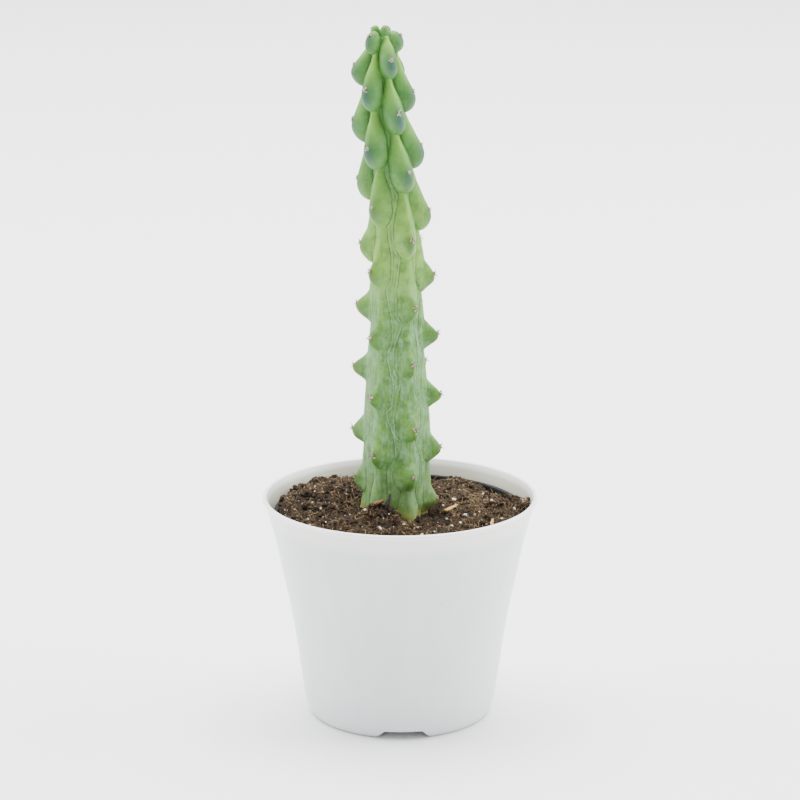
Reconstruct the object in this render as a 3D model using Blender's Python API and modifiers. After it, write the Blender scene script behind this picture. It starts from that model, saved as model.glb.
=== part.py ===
"""Potted myrtillocactus: a knobbly ribbed cactus in potting soil, in a black pot inside a white pot.

Blender 4.5 script. Metres, +Z up. The origin is on the ground, on the pots' axis, and -Y is the front.
Each sub-part is one closed solid, and pieces that lie together keep a gap of about 0.3 mm.
"""
import math
import random

import bmesh
import bpy
import numpy as np
from mathutils import Matrix, Vector, noise
from mathutils.bvhtree import BVHTree

NAME = "potted_myrtillocactus"
GAP = 0.0003
CUTTER_MARGIN = 0.001
SHARP_ANGLE = 40.0

# Colours
WHITE_PLASTIC = (0.80, 0.81, 0.80)
BLACK_PLASTIC = (0.018, 0.018, 0.019)
POTTING_SOIL = (0.060, 0.036, 0.022)
CACTUS_SKIN = (0.20, 0.36, 0.14)

# White outer pot
POT_HEIGHT = 0.0898
POT_RIM_RADIUS = 0.0546
POT_LIP_HEIGHT = 0.0018
POT_LIP_WIDTH = 0.0019
POT_LIP_ROUND = 0.0006
POT_WALL = 0.0013
POT_STEPS = 56
POT_WALL_OUTLINE = (
    # height, outer radius
    (0.0880, 0.0531),
    (0.0740, 0.0498),
    (0.0545, 0.0458),
    (0.0295, 0.0414),
    (0.0120, 0.0389),
    (0.0045, 0.0376),
    (0.0012, 0.0362),
)
POT_FOOT_RADIUS = 0.0352
POT_FOOT_INNER_RADIUS = 0.0332
POT_FOOT_HEIGHT = 0.0037
POT_FLOOR = 0.0015
POT_FLOOR_EDGE = 0.0008
POT_NOTCHES = 3
POT_NOTCH_AZIMUTH = 2.0
POT_NOTCH_HEIGHT = 0.0035
POT_NOTCH_TOP_WIDTH = 0.0150
POT_NOTCH_FOOT_WIDTH = 0.0215
POT_NOTCH_REACH = (0.028, 0.042)
POT_DRAIN_AZIMUTH = 45.0
DRAIN_HOLES = 4
DRAIN_RADIUS = 0.004
DRAIN_CIRCLE_RADIUS = 0.020
DRAIN_SIDES = 12

# Black nursery pot inside it
INNER_RIM_RADIUS = 0.0502
INNER_RIM_TOP = 0.0836
INNER_RIM_HEIGHT = 0.0020
INNER_RIM_LEDGE = 0.0009
INNER_WALL = 0.0009
INNER_FLOOR_RADIUS = 0.0338
INNER_FLOOR = 0.0010
INNER_EDGE = 0.0003
INNER_HEEL = 0.0012
INNER_DRAIN_AZIMUTH = 0.0
INNER_STEPS = 40

# Soil
SOIL_LEVEL = 0.0843
SOIL_SECTORS = 56
SOIL_RINGS = 12
SOIL_CRUMB_HEIGHT = 0.0016
SOIL_CRUMB_SIZE = 0.0075
SOIL_MOUNDS = (
    # azimuth in degrees, distance from the stem's axis, height, spread
    (-125.0, 0.034, 0.0026, 0.016),
    (-80.0, 0.036, 0.0016, 0.014),
    (-100.0, 0.046, 0.0010, 0.008),
    (94.0, 0.047, 0.0026, 0.006),
    (135.0, 0.030, -0.0014, 0.014),
    (112.0, 0.0475, -0.0022, 0.006),
    (128.0, 0.048, -0.0024, 0.008),
    (165.0, 0.047, -0.0029, 0.009),
    (-112.0, 0.0190, -0.0040, 0.0055),
    (62.0, 0.0170, -0.0028, 0.0050),
    (25.0, 0.0175, -0.0010, 0.0045),
)
SOIL_HEAPS = (
    # azimuth in degrees, distance from the stem's axis, height, spread
    (-30.4, 0.0182, 0.0060, 0.0062),
    (-8.2, 0.0182, 0.0022, 0.0055),
)
SOIL_HEAP_CLEAR = 0.0015
SOIL_HEAP_EDGE = 0.0020
SOIL_FINE_SHARE = 0.45
SOIL_FINE_HEIGHT = 0.6
SOIL_FINE_SHIFT = (7.0, 3.0, 1.0)
SOIL_RING_POWER = 0.9
SOIL_CALM_WIDTH = 0.005
SOIL_FOOT_RISE = 0.0005
SOIL_SIDE_STEP = 0.006
PERLITE_GRAINS = 25
PERLITE_RADIUS = 0.0011
PERLITE_SIZES = (0.7, 1.25)
PERLITE_ROUGHNESS = (0.75, 1.1)
PERLITE_ZONE = (0.0185, 0.0455)
FIBRES = 12
FIBRE_ZONE = (0.021, 0.038)
FIBRE_LENGTHS = (0.004, 0.007)
FIBRE_RADIUS = 0.00035
FIBRE_ARCH = 0.0016
FIBRE_STEPS = 5
FIBRE_BEND = 50.0
SOIL_SEED = 5

# Cactus
STUMP_RADIUS = 0.0136
STUMP_TIP_RADIUS = 0.0100
STUMP_BOTTOM = 0.0600
STEM_FOOT = 0.0852
STEM_TOP = 0.2742
STEM_FOOT_BLEND = 0.0045
AXIS_BASE_OFFSET = -0.0014
AXIS_TOP_OFFSET = -0.0067
AXIS_BEND_START = 0.190
AXIS_BEND_END = 0.260
RIBS = (
    # azimuth in degrees from the front, towards +X; areole heights from the top down
    (-98.0, (0.2621, 0.2407, 0.2179, 0.1924, 0.1676, 0.1428, 0.1170, 0.0971)),
    (-38.0, (0.2743, 0.2539, 0.2315, 0.2088, 0.1828, 0.1572, 0.1334, 0.1105)),
    (22.0, (0.2656, 0.2450, 0.2224, 0.1962, 0.1695, 0.1466, 0.1207, 0.1014)),
    (82.0, (0.2734, 0.2522, 0.2312, 0.2061, 0.1806, 0.1566, 0.1323, 0.1106, 0.0895)),
    (142.0, (0.2614, 0.2391, 0.2167, 0.1915, 0.1660, 0.1420, 0.1180, 0.0980)),
    (-158.0, (0.2725, 0.2525, 0.2305, 0.2070, 0.1815, 0.1565, 0.1320, 0.1100, 0.0895)),
)
TIP_OUTLINE = (
    # height, distance of the areoles from the stem's axis
    (0.085, 0.0166),
    (0.110, 0.0178),
    (0.132, 0.0180),
    (0.160, 0.0165),
    (0.190, 0.0147),
    (0.205, 0.0143),
    (0.235, 0.0139),
    (0.250, 0.0127),
    (0.262, 0.0125),
    (0.275, 0.0078),
)
AXIL_OUTLINE = (
    # height, distance of the rib's crest from the stem's axis between two tubercles
    (0.085, 0.0134),
    (0.125, 0.0130),
    (0.155, 0.0104),
    (0.185, 0.0094),
    (0.215, 0.0084),
    (0.245, 0.0078),
    (0.275, 0.0052),
)
FURROW_OUTLINE = (
    # height, distance of the furrows between the ribs from the stem's axis
    (0.085, 0.0121),
    (0.125, 0.0115),
    (0.155, 0.0097),
    (0.185, 0.0087),
    (0.215, 0.0075),
    (0.245, 0.0064),
    (0.275, 0.0040),
)
YOUNG_TUBERCLES = (
    # azimuth, centre's distance from the axis and height; half sizes outwards, sideways and up
    (-44.0, 0.0048, 0.2710, 0.0038, 0.0028, 0.0046),
    (82.0, 0.0040, 0.2710, 0.0042, 0.0034, 0.0044),
    (-158.0, 0.0043, 0.2704, 0.0040, 0.0031, 0.0047),
    (22.0, 0.0022, 0.2747, 0.0020, 0.0019, 0.0030),
    (-98.0, 0.0027, 0.2744, 0.0020, 0.0019, 0.0029),
    (142.0, 0.0024, 0.2741, 0.0020, 0.0019, 0.0029),
)
YOUNG_ABOVE = 0.270
TOP_PITCH = 0.0205
FOOT_PITCH = 0.0200
RIB_SPREAD = 60.0
RIB_COLUMNS = (0.0, 7.0, 14.5, 22.5, 30.0, 37.5, 45.5, 53.0)
PITCH_ROWS = (0.0, 0.11, 0.22, 0.33, 0.5, 0.61, 0.72, 0.83)
FIRST_ROW = -0.4
LAST_ROW = 7.5
DOME_LIFTS = (72.0, 48.0, 24.0)
UNDERSIDE_SHARE = 0.33
UNDERSIDE_POWER = 1.7
NECK_HALF_ANGLE = 21.0
LOBE_HALF_ANGLE = 29.5
KNOB_START = 0.155
KNOB_END = 0.220
KNOB_SHARE = 0.60
KNOB_ABOVE = 0.0080
KNOB_BELOW = 0.0056
KNOB_SIDE = 0.0046
KNOB_ROUND = 0.25
KNOB_POWER = 1.4
TIP_ROUNDING = 0.12
TIP_ROUNDING_POWER = 8
AREOLE_RADIUS = 0.0007
AREOLE_LIFT = 0.1
SPINES_AN_AREOLE = 2
SPINE_LENGTHS = (0.0015, 0.0022)
SPINE_RADIUS = 0.00022
SPINE_ROOT = 0.25
SPINE_SPREAD = (0.6, 1.1)
YOUNG_AREOLE_LIFT = 42.0
PLANT_SEED = 11

# Loose pieces on the soil: place by azimuth and distance from the pots' axis, then turn and lean
LOOSE_PIECES = {
    "bark_shard": dict(azimuth=-14.0, distance=0.0178, turn=49.0, lean=70.0, length=0.0056, width=0.0017,
                       thickness=0.0010, far_width=0.35, colour=(0.035, 0.022, 0.018), seed=3),
    "bark_chip": dict(azimuth=-25.8, distance=0.0190, turn=26.0, lean=24.0, length=0.0036, width=0.0026,
                      thickness=0.0013, far_width=0.6, colour=(0.36, 0.16, 0.07), seed=4),
    "wood_sliver": dict(azimuth=77.8, distance=0.0209, turn=-26.0, lean=4.0, length=0.0076, width=0.0018,
                        thickness=0.0012, far_width=0.7, colour=(0.62, 0.42, 0.17), seed=5),
    "pale_stick": dict(azimuth=57.5, distance=0.0428, turn=26.5, lean=8.0, length=0.0056, width=0.0013,
                       thickness=0.0011, far_width=0.7, colour=(0.66, 0.45, 0.27), seed=6),
}
DROP_HEIGHT = 0.020
FLAKE_ROUGHNESS = (0.85, 1.1)
FLAKE_TAPER_POWER = 1.5


def clear_scene():
    """Remove every object that is in the file."""
    for thing in list(bpy.data.objects):
        bpy.data.objects.remove(thing, do_unlink=True)


def new_collection(name):
    """Make a collection and link it to the scene."""
    collection = bpy.data.collections.new(name)
    bpy.context.scene.collection.children.link(collection)
    return collection


def make_material(name, colour, roughness):
    """Make a Principled material of one colour."""
    material = bpy.data.materials.new(name)
    material.use_nodes = True
    shader = material.node_tree.nodes["Principled BSDF"]
    shader.inputs["Base Color"].default_value = (*colour, 1.0)
    shader.inputs["Roughness"].default_value = roughness
    return material


def add_object(name, mesh, collection, material=None):
    """Put a mesh in the scene as a named object."""
    thing = bpy.data.objects.new(name, mesh)
    collection.objects.link(thing)
    if material:
        mesh.materials.append(material)
    return thing


def add_bmesh(name, shape, collection, material=None):
    """Put a bmesh in the scene as a named object and free it."""
    mesh = bpy.data.meshes.new(name)
    shape.to_mesh(mesh)
    shape.free()
    return add_object(name, mesh, collection, material)


def shade_round(thing):
    """Shade smoothly, but keep the sharp edges."""
    thing.data.shade_smooth()
    thing.data.set_sharp_from_angle(angle=math.radians(SHARP_ANGLE))


def hide_cutter(thing):
    """Keep a cutter out of the picture."""
    thing.hide_render = True
    thing.display_type = "WIRE"


def polar(azimuth, distance, height):
    """A point by its azimuth in degrees from the front towards +X, its distance from Z and its height."""
    turn = math.radians(azimuth)
    return Vector((distance * math.sin(turn), -distance * math.cos(turn), height))


def turned(name, outline, steps, collection, material):
    """Turn a closed outline of (radius, height) points round Z with a Screw modifier."""
    mesh = bpy.data.meshes.new(name)
    points = [(radius, 0.0, height) for radius, height in outline]
    edges = []
    for index, point in enumerate(points):
        following = (index + 1) % len(points)
        if point[0] > 0 or points[following][0] > 0:
            edges.append((index, following))
    mesh.from_pydata(points, edges, [])
    thing = add_object(name, mesh, collection, material)
    screw = thing.modifiers.new("turn", "SCREW")
    screw.axis = "Z"
    screw.angle = math.tau
    screw.steps = steps
    screw.render_steps = steps
    screw.use_merge_vertices = True
    screw.merge_threshold = 0.00001
    return thing


def cut(thing, cutters):
    """Cut a collection's solids out of an object."""
    boolean = thing.modifiers.new("cut", "BOOLEAN")
    boolean.operation = "DIFFERENCE"
    boolean.operand_type = "COLLECTION"
    boolean.collection = cutters
    boolean.solver = "EXACT"


def drain_hole_cutters(name, low, high, start_azimuth, cutters):
    """Upright round cutters for the drain holes in a floor between two heights."""
    for index in range(DRAIN_HOLES):
        shape = bmesh.new()
        bmesh.ops.create_cone(shape, cap_ends=True, segments=DRAIN_SIDES, radius1=DRAIN_RADIUS,
                              radius2=DRAIN_RADIUS, depth=high - low + 2 * CUTTER_MARGIN)
        azimuth = start_azimuth + 360.0 * index / DRAIN_HOLES
        place = polar(azimuth, DRAIN_CIRCLE_RADIUS, (low + high) / 2)
        bmesh.ops.translate(shape, vec=place, verts=shape.verts)
        hide_cutter(add_bmesh(f"{name}_drain_{index}", shape, cutters))


def notch_cutters(cutters):
    """Blocks with sloping ends for the notches in the foot ring, open at the ground."""
    slope = (POT_NOTCH_FOOT_WIDTH - POT_NOTCH_TOP_WIDTH) / POT_NOTCH_HEIGHT / 2
    foot_half = POT_NOTCH_FOOT_WIDTH / 2 + slope * CUTTER_MARGIN
    near, far = POT_NOTCH_REACH
    for index in range(POT_NOTCHES):
        shape = bmesh.new()
        bmesh.ops.create_cube(shape, size=1.0)
        for vert in shape.verts:
            upper = vert.co.z > 0
            vert.co.x = math.copysign(POT_NOTCH_TOP_WIDTH / 2 if upper else foot_half, vert.co.x)
            vert.co.y = -far if vert.co.y < 0 else -near
            vert.co.z = POT_NOTCH_HEIGHT if upper else -CUTTER_MARGIN
        azimuth = POT_NOTCH_AZIMUTH + 360.0 * index / POT_NOTCHES
        turn = Matrix.Rotation(math.radians(azimuth), 3, "Z")
        bmesh.ops.rotate(shape, cent=(0, 0, 0), matrix=turn, verts=shape.verts)
        hide_cutter(add_bmesh(f"foot_notch_{index}", shape, cutters))


def outer_pot(collection):
    """The white pot: lip, thin curved wall, foot ring with notches, recessed floor with drain holes."""
    lip_inner = POT_RIM_RADIUS - POT_LIP_WIDTH
    floor_top = POT_FOOT_HEIGHT + POT_FLOOR
    outside = [
        (lip_inner + POT_LIP_ROUND, POT_HEIGHT),
        (POT_RIM_RADIUS - POT_LIP_ROUND, POT_HEIGHT),
        (POT_RIM_RADIUS, POT_HEIGHT - POT_LIP_ROUND),
        (POT_RIM_RADIUS - POT_LIP_ROUND / 2, POT_HEIGHT - POT_LIP_HEIGHT),
    ]
    outside += [(radius, height) for height, radius in POT_WALL_OUTLINE]
    foot = [
        (POT_FOOT_RADIUS, 0.0),
        (POT_FOOT_INNER_RADIUS, 0.0),
        (POT_FOOT_INNER_RADIUS, POT_FOOT_HEIGHT),
        (0.0, POT_FOOT_HEIGHT),
        (0.0, floor_top),
    ]
    wall = [(radius - POT_WALL, height) for height, radius in POT_WALL_OUTLINE[::2] if height > floor_top]
    wall.reverse()
    inside = [(wall[0][0] - POT_FLOOR_EDGE, floor_top)]
    inside += wall
    inside.append((lip_inner, POT_HEIGHT - POT_LIP_ROUND))
    material = make_material("white_plastic", WHITE_PLASTIC, 0.38)
    pot = turned("outer_pot", outside + foot + inside, POT_STEPS, collection, material)
    cutters = new_collection("outer_pot_cutters")
    drain_hole_cutters("outer", POT_FOOT_HEIGHT, floor_top, POT_DRAIN_AZIMUTH, cutters)
    notch_cutters(cutters)
    cut(pot, cutters)
    shade_round(pot)
    return pot


def inner_floor_level():
    """Height of the underside of the black pot, which stands on the white pot's floor."""
    return POT_FOOT_HEIGHT + POT_FLOOR + GAP


def inner_wall_radius(height):
    """Outer radius of the black pot's wall at a height."""
    top = INNER_RIM_TOP - INNER_RIM_HEIGHT
    share = (height - inner_floor_level()) / (top - inner_floor_level())
    return INNER_FLOOR_RADIUS + share * (INNER_RIM_RADIUS - INNER_RIM_LEDGE - INNER_FLOOR_RADIUS)


def inner_pot(collection):
    """The black nursery pot: a plain tapered wall with a rim ledge, and a floor with drain holes."""
    low = inner_floor_level()
    ledge = INNER_RIM_TOP - INNER_RIM_HEIGHT
    rim_inner = INNER_RIM_RADIUS - INNER_RIM_LEDGE - INNER_WALL
    outline = [
        (INNER_RIM_RADIUS - INNER_EDGE, INNER_RIM_TOP),
        (INNER_RIM_RADIUS, INNER_RIM_TOP - INNER_EDGE),
        (INNER_RIM_RADIUS, ledge),
        (inner_wall_radius(ledge), ledge),
        (inner_wall_radius(low + INNER_HEEL), low + INNER_HEEL),
        (INNER_FLOOR_RADIUS - INNER_HEEL / 2, low),
        (0.0, low),
        (0.0, low + INNER_FLOOR),
        (INNER_FLOOR_RADIUS - INNER_WALL, low + INNER_FLOOR),
        (rim_inner, INNER_RIM_TOP - INNER_EDGE),
        (rim_inner + INNER_EDGE, INNER_RIM_TOP),
    ]
    material = make_material("black_plastic", BLACK_PLASTIC, 0.45)
    pot = turned("inner_pot", outline, INNER_STEPS, collection, material)
    cutters = new_collection("inner_pot_cutters")
    drain_hole_cutters("inner", low, low + INNER_FLOOR, INNER_DRAIN_AZIMUTH, cutters)
    cut(pot, cutters)
    shade_round(pot)
    return pot


def smooth(value):
    """Ease from 0 to 1 as a value goes from 0 to 1."""
    share = np.clip(value, 0.0, 1.0)
    return share * share * (3.0 - 2.0 * share)


def read_outline(outline, height):
    """Distance from the stem's axis at a height, read from (height, distance) points."""
    heights, distances = zip(*outline)
    return np.interp(height, heights, distances)


def axis_offset(height):
    """Sideways place of the stem's axis at a height: upright, with one soft bend."""
    bend = smooth((height - AXIS_BEND_START) / (AXIS_BEND_END - AXIS_BEND_START))
    return AXIS_BASE_OFFSET + (AXIS_TOP_OFFSET - AXIS_BASE_OFFSET) * bend


def is_young(height):
    """Whether an areole is on one of the young tubercles at the tip, which are shaped apart."""
    return height > YOUNG_ABOVE


def knob_height(outward):
    """Height of a knob from 1 at its round tip to 0 at its foot, by the share of its half size."""
    share = np.clip(outward, 0.0, 1.0)
    cone = 1.0 - np.sqrt(share ** 2 + KNOB_ROUND ** 2) + KNOB_ROUND
    return np.clip(cone, 0.0, 1.0) ** KNOB_POWER * (1.0 - share ** 4)


def lobe_reach(side, below, areole, above_gap, below_gap, height):
    """Distance from the axis of one tubercle's surface, or 0 where the tubercle isn't.

    side is the angle from the rib's middle, and below is how far a point lies under the areole. The
    tubercle widens from a neck down to its areole, and its underside is rounded. Low on the stem it is
    a broad swelling with a small knob.
    """
    rise = above_gap * (1.0 - UNDERSIDE_SHARE)
    fall = below_gap * UNDERSIDE_SHARE
    furrow = read_outline(FURROW_OUTLINE, height)
    neck = read_outline(AXIL_OUTLINE, areole + rise)
    tip = read_outline(TIP_OUTLINE, areole)
    knob = 1.0 - smooth((areole - KNOB_START) / (KNOB_END - KNOB_START))
    broad = tip - (tip - neck) * KNOB_SHARE * knob
    grown = np.clip(1.0 + below / rise, 0.0, 1.0)
    slope = grown * (1.0 + TIP_ROUNDING - TIP_ROUNDING * grown ** TIP_ROUNDING_POWER)
    crest = neck + (broad - neck) * slope
    width = NECK_HALF_ANGLE + (LOBE_HALF_ANGLE - NECK_HALF_ANGLE) * smooth(grown)
    upper = np.sqrt(np.clip(1.0 - (side / width) ** 2, 0.0, 1.0))
    sunk = np.clip(below / fall, 0.0, 1.0) ** UNDERSIDE_POWER
    lower = np.sqrt(np.clip(1.0 - (side / LOBE_HALF_ANGLE) ** 2 - sunk, 0.0, 1.0))
    reach = np.where(below < 0, furrow + (crest - furrow) * upper, furrow + (broad - furrow) * lower)
    across = np.radians(side) * tip / KNOB_SIDE
    along = np.where(below < 0, below / KNOB_ABOVE, below / KNOB_BELOW)
    reach = reach + (tip - broad) * knob_height(np.hypot(across, along))
    hidden = below < -(rise + above_gap * UNDERSIDE_SHARE)
    return np.where(hidden | (below > fall), 0.0, reach)


def stem_radius(azimuth, height):
    """Distance of the stem's surface from its axis, at azimuths in degrees and heights."""
    radius = read_outline(FURROW_OUTLINE, height)
    for rib_azimuth, areoles in RIBS:
        side = np.abs((azimuth - rib_azimuth + 180.0) % 360.0 - 180.0)
        for index, areole in enumerate(areoles):
            if is_young(areole):
                continue
            above_gap = areoles[index - 1] - areole if index else TOP_PITCH
            last = index + 1 == len(areoles)
            below_gap = areole - areoles[index + 1] if not last else FOOT_PITCH
            below = areole - height
            radius = np.maximum(radius, lobe_reach(side, below, areole, above_gap, below_gap, height))
    blend = smooth((height - STEM_FOOT) / STEM_FOOT_BLEND)
    return STUMP_RADIUS + (radius - STUMP_RADIUS) * blend


def row_heights(areoles, first_pitch, pitches):
    """Height of each row of the mesh along one rib, so that rows fall on its areoles and creases."""
    known = first_pitch + np.arange(len(areoles))
    heights = np.array(areoles)
    below = heights[-1] - (pitches - known[-1]) * FOOT_PITCH
    above = heights[0] + (known[0] - pitches) * (heights[0] - heights[1])
    inner = np.interp(pitches, known, heights)
    return np.where(pitches > known[-1], below, np.where(pitches < known[0], above, inner))


def stem_grid():
    """Azimuth and height of every point of the stem's mesh, as two arrays with a row for each level."""
    pitches = np.array([turn + share for turn in range(-1, 8) for share in PITCH_ROWS])
    pitches = pitches[(pitches >= FIRST_ROW) & (pitches <= LAST_ROW)]
    order = sorted(RIBS, key=lambda rib: rib[0])
    azimuths = []
    heights = []
    for index, (rib_azimuth, areoles) in enumerate(order):
        next_azimuth, next_areoles = order[(index + 1) % len(order)]
        here = row_heights(areoles, -0.5 if is_young(areoles[0]) else 0.0, pitches)
        there = row_heights(next_areoles, -0.5 if is_young(next_areoles[0]) else 0.0, pitches)
        for column in RIB_COLUMNS:
            share = smooth(column / RIB_SPREAD)
            azimuths.append(rib_azimuth + column)
            heights.append(here + (there - here) * share)
    azimuth = np.repeat(np.array(azimuths)[None, :], len(pitches), axis=0)
    return azimuth, np.array(heights).T


def ring_mesh(levels):
    """A closed bmesh from rings of points: quads between the rings, and a fan over each end ring."""
    shape = bmesh.new()
    rings = [[shape.verts.new(point) for point in level] for level in levels]
    count = len(rings[0])
    for upper, lower in zip(rings, rings[1:]):
        for index in range(count):
            after = (index + 1) % count
            shape.faces.new((upper[index], lower[index], lower[after], upper[after]))
    for ring, outward in ((rings[0], 1), (rings[-1], -1)):
        middle = sum((vert.co for vert in ring), Vector()) / count
        pole = shape.verts.new(middle)
        for index in range(count):
            after = (index + 1) % count
            shape.faces.new((ring[index], ring[after], pole)[::outward])
    return shape


def stem_point(azimuth, distance, height):
    """A point by its azimuth and distance from the stem's own axis."""
    return polar(azimuth, distance, height) + Vector((axis_offset(height), 0.0, 0.0))


def stem_levels():
    """The rings of points of the stem, from its tip down to the stump's end in the soil."""
    azimuth, height = stem_grid()
    radius = stem_radius(azimuth, height)
    azimuth_row = azimuth[0]
    rows = []
    for lift in DOME_LIFTS:
        tilt = math.radians(lift)
        dome = height[0] + (STEM_TOP - height[0]) * math.sin(tilt)
        rows.append((radius[0] * math.cos(tilt), dome))
    rows += list(zip(radius, height))
    foot = np.full(len(azimuth_row), STEM_FOOT)
    middle = (height[-1] + foot) / 2
    rows.append((stem_radius(azimuth_row, middle), middle))
    rows.append((np.full(len(azimuth_row), STUMP_RADIUS), foot))
    rows.append((np.full(len(azimuth_row), STUMP_TIP_RADIUS), np.full(len(azimuth_row), STUMP_BOTTOM)))
    levels = []
    for radii, heights in rows:
        levels.append([stem_point(*values) for values in zip(azimuth_row, radii, heights)])
    return levels


def young_tubercle(azimuth, distance, height, outwards, sideways, up):
    """An egg-shaped young tubercle at the stem's tip, as a bmesh."""
    shape = bmesh.new()
    bmesh.ops.create_icosphere(shape, subdivisions=2, radius=1.0)
    bmesh.ops.scale(shape, vec=(sideways, outwards, up), verts=shape.verts)
    turn = Matrix.Rotation(math.radians(azimuth), 3, "Z")
    bmesh.ops.rotate(shape, cent=(0, 0, 0), matrix=turn, verts=shape.verts)
    bmesh.ops.translate(shape, vec=stem_point(azimuth, distance, height), verts=shape.verts)
    return shape


def areole_places():
    """Place and outward direction of every areole."""
    places = []
    for azimuth, areoles in RIBS:
        for height in areoles:
            if not is_young(height):
                distance = float(stem_radius(np.array(azimuth), np.array(height)))
                places.append((stem_point(azimuth, distance, height), polar(azimuth, 1.0, AREOLE_LIFT)))
    for azimuth, distance, height, outwards, sideways, up in YOUNG_TUBERCLES:
        lean = math.radians(YOUNG_AREOLE_LIFT)
        place = stem_point(azimuth, distance + outwards * math.cos(lean), height + up * math.sin(lean))
        places.append((place, polar(azimuth, math.cos(lean), math.sin(lean))))
    return places


def spine(place, direction, length, radius):
    """A three-sided spine with its root sunk in the areole, as a bmesh."""
    shape = bmesh.new()
    bmesh.ops.create_cone(shape, cap_ends=True, segments=3, radius1=radius, radius2=0.0,
                          depth=length)
    turn = Vector((0, 0, 1)).rotation_difference(direction).to_matrix()
    bmesh.ops.rotate(shape, cent=(0, 0, 0), matrix=turn, verts=shape.verts)
    bmesh.ops.translate(shape, vec=place + direction * length * SPINE_ROOT, verts=shape.verts)
    return shape


def fuse(thing, pieces):
    """Join a collection's solids to an object with one Boolean union, apply it and remove them."""
    boolean = thing.modifiers.new("fuse", "BOOLEAN")
    boolean.operation = "UNION"
    boolean.operand_type = "COLLECTION"
    boolean.collection = pieces
    boolean.solver = "EXACT"
    view = bpy.context.evaluated_depsgraph_get()
    joined = bpy.data.meshes.new_from_object(thing.evaluated_get(view))
    thing.modifiers.remove(boolean)
    thing.data = joined
    for piece in list(pieces.objects):
        bpy.data.objects.remove(piece, do_unlink=True)
    bpy.data.collections.remove(pieces)


def cactus(collection):
    """The plant: stem with its tubercles, young tubercles, woolly areoles and short spines, in one."""
    material = make_material("cactus_skin", CACTUS_SKIN, 0.50)
    plant = add_bmesh("cactus", ring_mesh(stem_levels()), collection, material)
    pieces = new_collection("cactus_pieces")
    for index, young in enumerate(YOUNG_TUBERCLES):
        add_bmesh(f"young_{index}", young_tubercle(*young), pieces)
    draw = random.Random(PLANT_SEED)
    for index, (place, outward) in enumerate(areole_places()):
        wool = bmesh.new()
        bmesh.ops.create_uvsphere(wool, u_segments=4, v_segments=2, radius=AREOLE_RADIUS)
        bmesh.ops.translate(wool, vec=place, verts=wool.verts)
        add_bmesh(f"areole_{index}", wool, pieces)
        sideways = outward.cross(Vector((0, 0, 1))).normalized()
        upwards = sideways.cross(outward).normalized()
        start = draw.uniform(0.0, math.tau)
        for number in range(SPINES_AN_AREOLE):
            around = start + math.tau * number / SPINES_AN_AREOLE
            spread = sideways * math.cos(around) + upwards * math.sin(around)
            direction = (outward.normalized() + spread * draw.uniform(*SPINE_SPREAD)).normalized()
            length = draw.uniform(*SPINE_LENGTHS)
            add_bmesh(f"spine_{index}_{number}", spine(place, direction, length, SPINE_RADIUS), pieces)
    fuse(plant, pieces)
    shade_round(plant)
    return plant


def hollow_radius(height):
    """Inner radius of the black pot's wall at a height."""
    low = inner_floor_level() + INNER_FLOOR
    top = INNER_RIM_TOP - INNER_EDGE
    share = min(1.0, (height - low) / (top - low))
    narrow = INNER_FLOOR_RADIUS - INNER_WALL
    wide = INNER_RIM_RADIUS - INNER_RIM_LEDGE - INNER_WALL
    return narrow + share * (wide - narrow)


def mound_height(place, mound):
    """Height that one mound adds to the soil at a place."""
    azimuth, distance, rise, spread = mound
    middle = Vector((AXIS_BASE_OFFSET, 0.0, 0.0)) + polar(azimuth, distance, 0.0)
    return rise * math.exp(-(((place - middle).length / spread) ** 2))


def soil_height(place):
    """Height of the soil's top: mounds, hollows and crumbs, calm at the hole, heaped against the stem."""
    stem = Vector((AXIS_BASE_OFFSET, 0.0, 0.0))
    height = SOIL_LEVEL + sum(mound_height(place, mound) for mound in SOIL_MOUNDS)
    lumps = noise.noise(place / SOIL_CRUMB_SIZE)
    crumbs = noise.noise(place / (SOIL_CRUMB_SIZE * SOIL_FINE_SHARE) + Vector(SOIL_FINE_SHIFT))
    relief = SOIL_CRUMB_HEIGHT * (lumps + SOIL_FINE_HEIGHT * crumbs)
    from_hole = (place - stem).length - STUMP_RADIUS
    calm = float(smooth(from_hole / SOIL_CALM_WIDTH))
    free_rise = max(0.0, from_hole - SOIL_CALM_WIDTH / 2)
    height = min(height, SOIL_LEVEL + SOIL_FOOT_RISE + free_rise)
    heap = sum(mound_height(place, mound) for mound in SOIL_HEAPS)
    heap *= float(smooth((from_hole - SOIL_HEAP_CLEAR) / SOIL_HEAP_EDGE))
    return height + heap + relief * calm


def soil_edge(azimuth):
    """The end of the soil's top at one azimuth, just clear of the tapered inner pot."""
    edge = polar(azimuth, hollow_radius(INNER_RIM_TOP) - GAP, 0.0)
    return polar(azimuth, hollow_radius(min(soil_height(edge), INNER_RIM_TOP)) - GAP, 0.0)


def soil_body():
    """The soil as a closed bmesh: crumbly top, tapered side, flat bottom, plain hole for the stem."""
    stem = Vector((AXIS_BASE_OFFSET, 0.0, 0.0))
    azimuths = [360.0 * index / SOIL_SECTORS for index in range(SOIL_SECTORS)]
    low = inner_floor_level() + INNER_FLOOR + GAP
    hole_bottom = STUMP_BOTTOM - GAP
    levels = [[stem + polar(azimuth, STUMP_TIP_RADIUS + GAP, hole_bottom) for azimuth in azimuths]]
    for ring in range(SOIL_RINGS + 1):
        share = (ring / SOIL_RINGS) ** SOIL_RING_POWER
        level = []
        for azimuth in azimuths:
            start = stem + polar(azimuth, STUMP_RADIUS + GAP, 0.0)
            place = start.lerp(soil_edge(azimuth), share)
            level.append(Vector((place.x, place.y, soil_height(place))))
        levels.append(level)
    for height in (SOIL_LEVEL - SOIL_SIDE_STEP, low):
        radius = hollow_radius(height) - GAP
        levels.append([polar(azimuth, radius, height) for azimuth in azimuths])
    return ring_mesh(levels)


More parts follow.
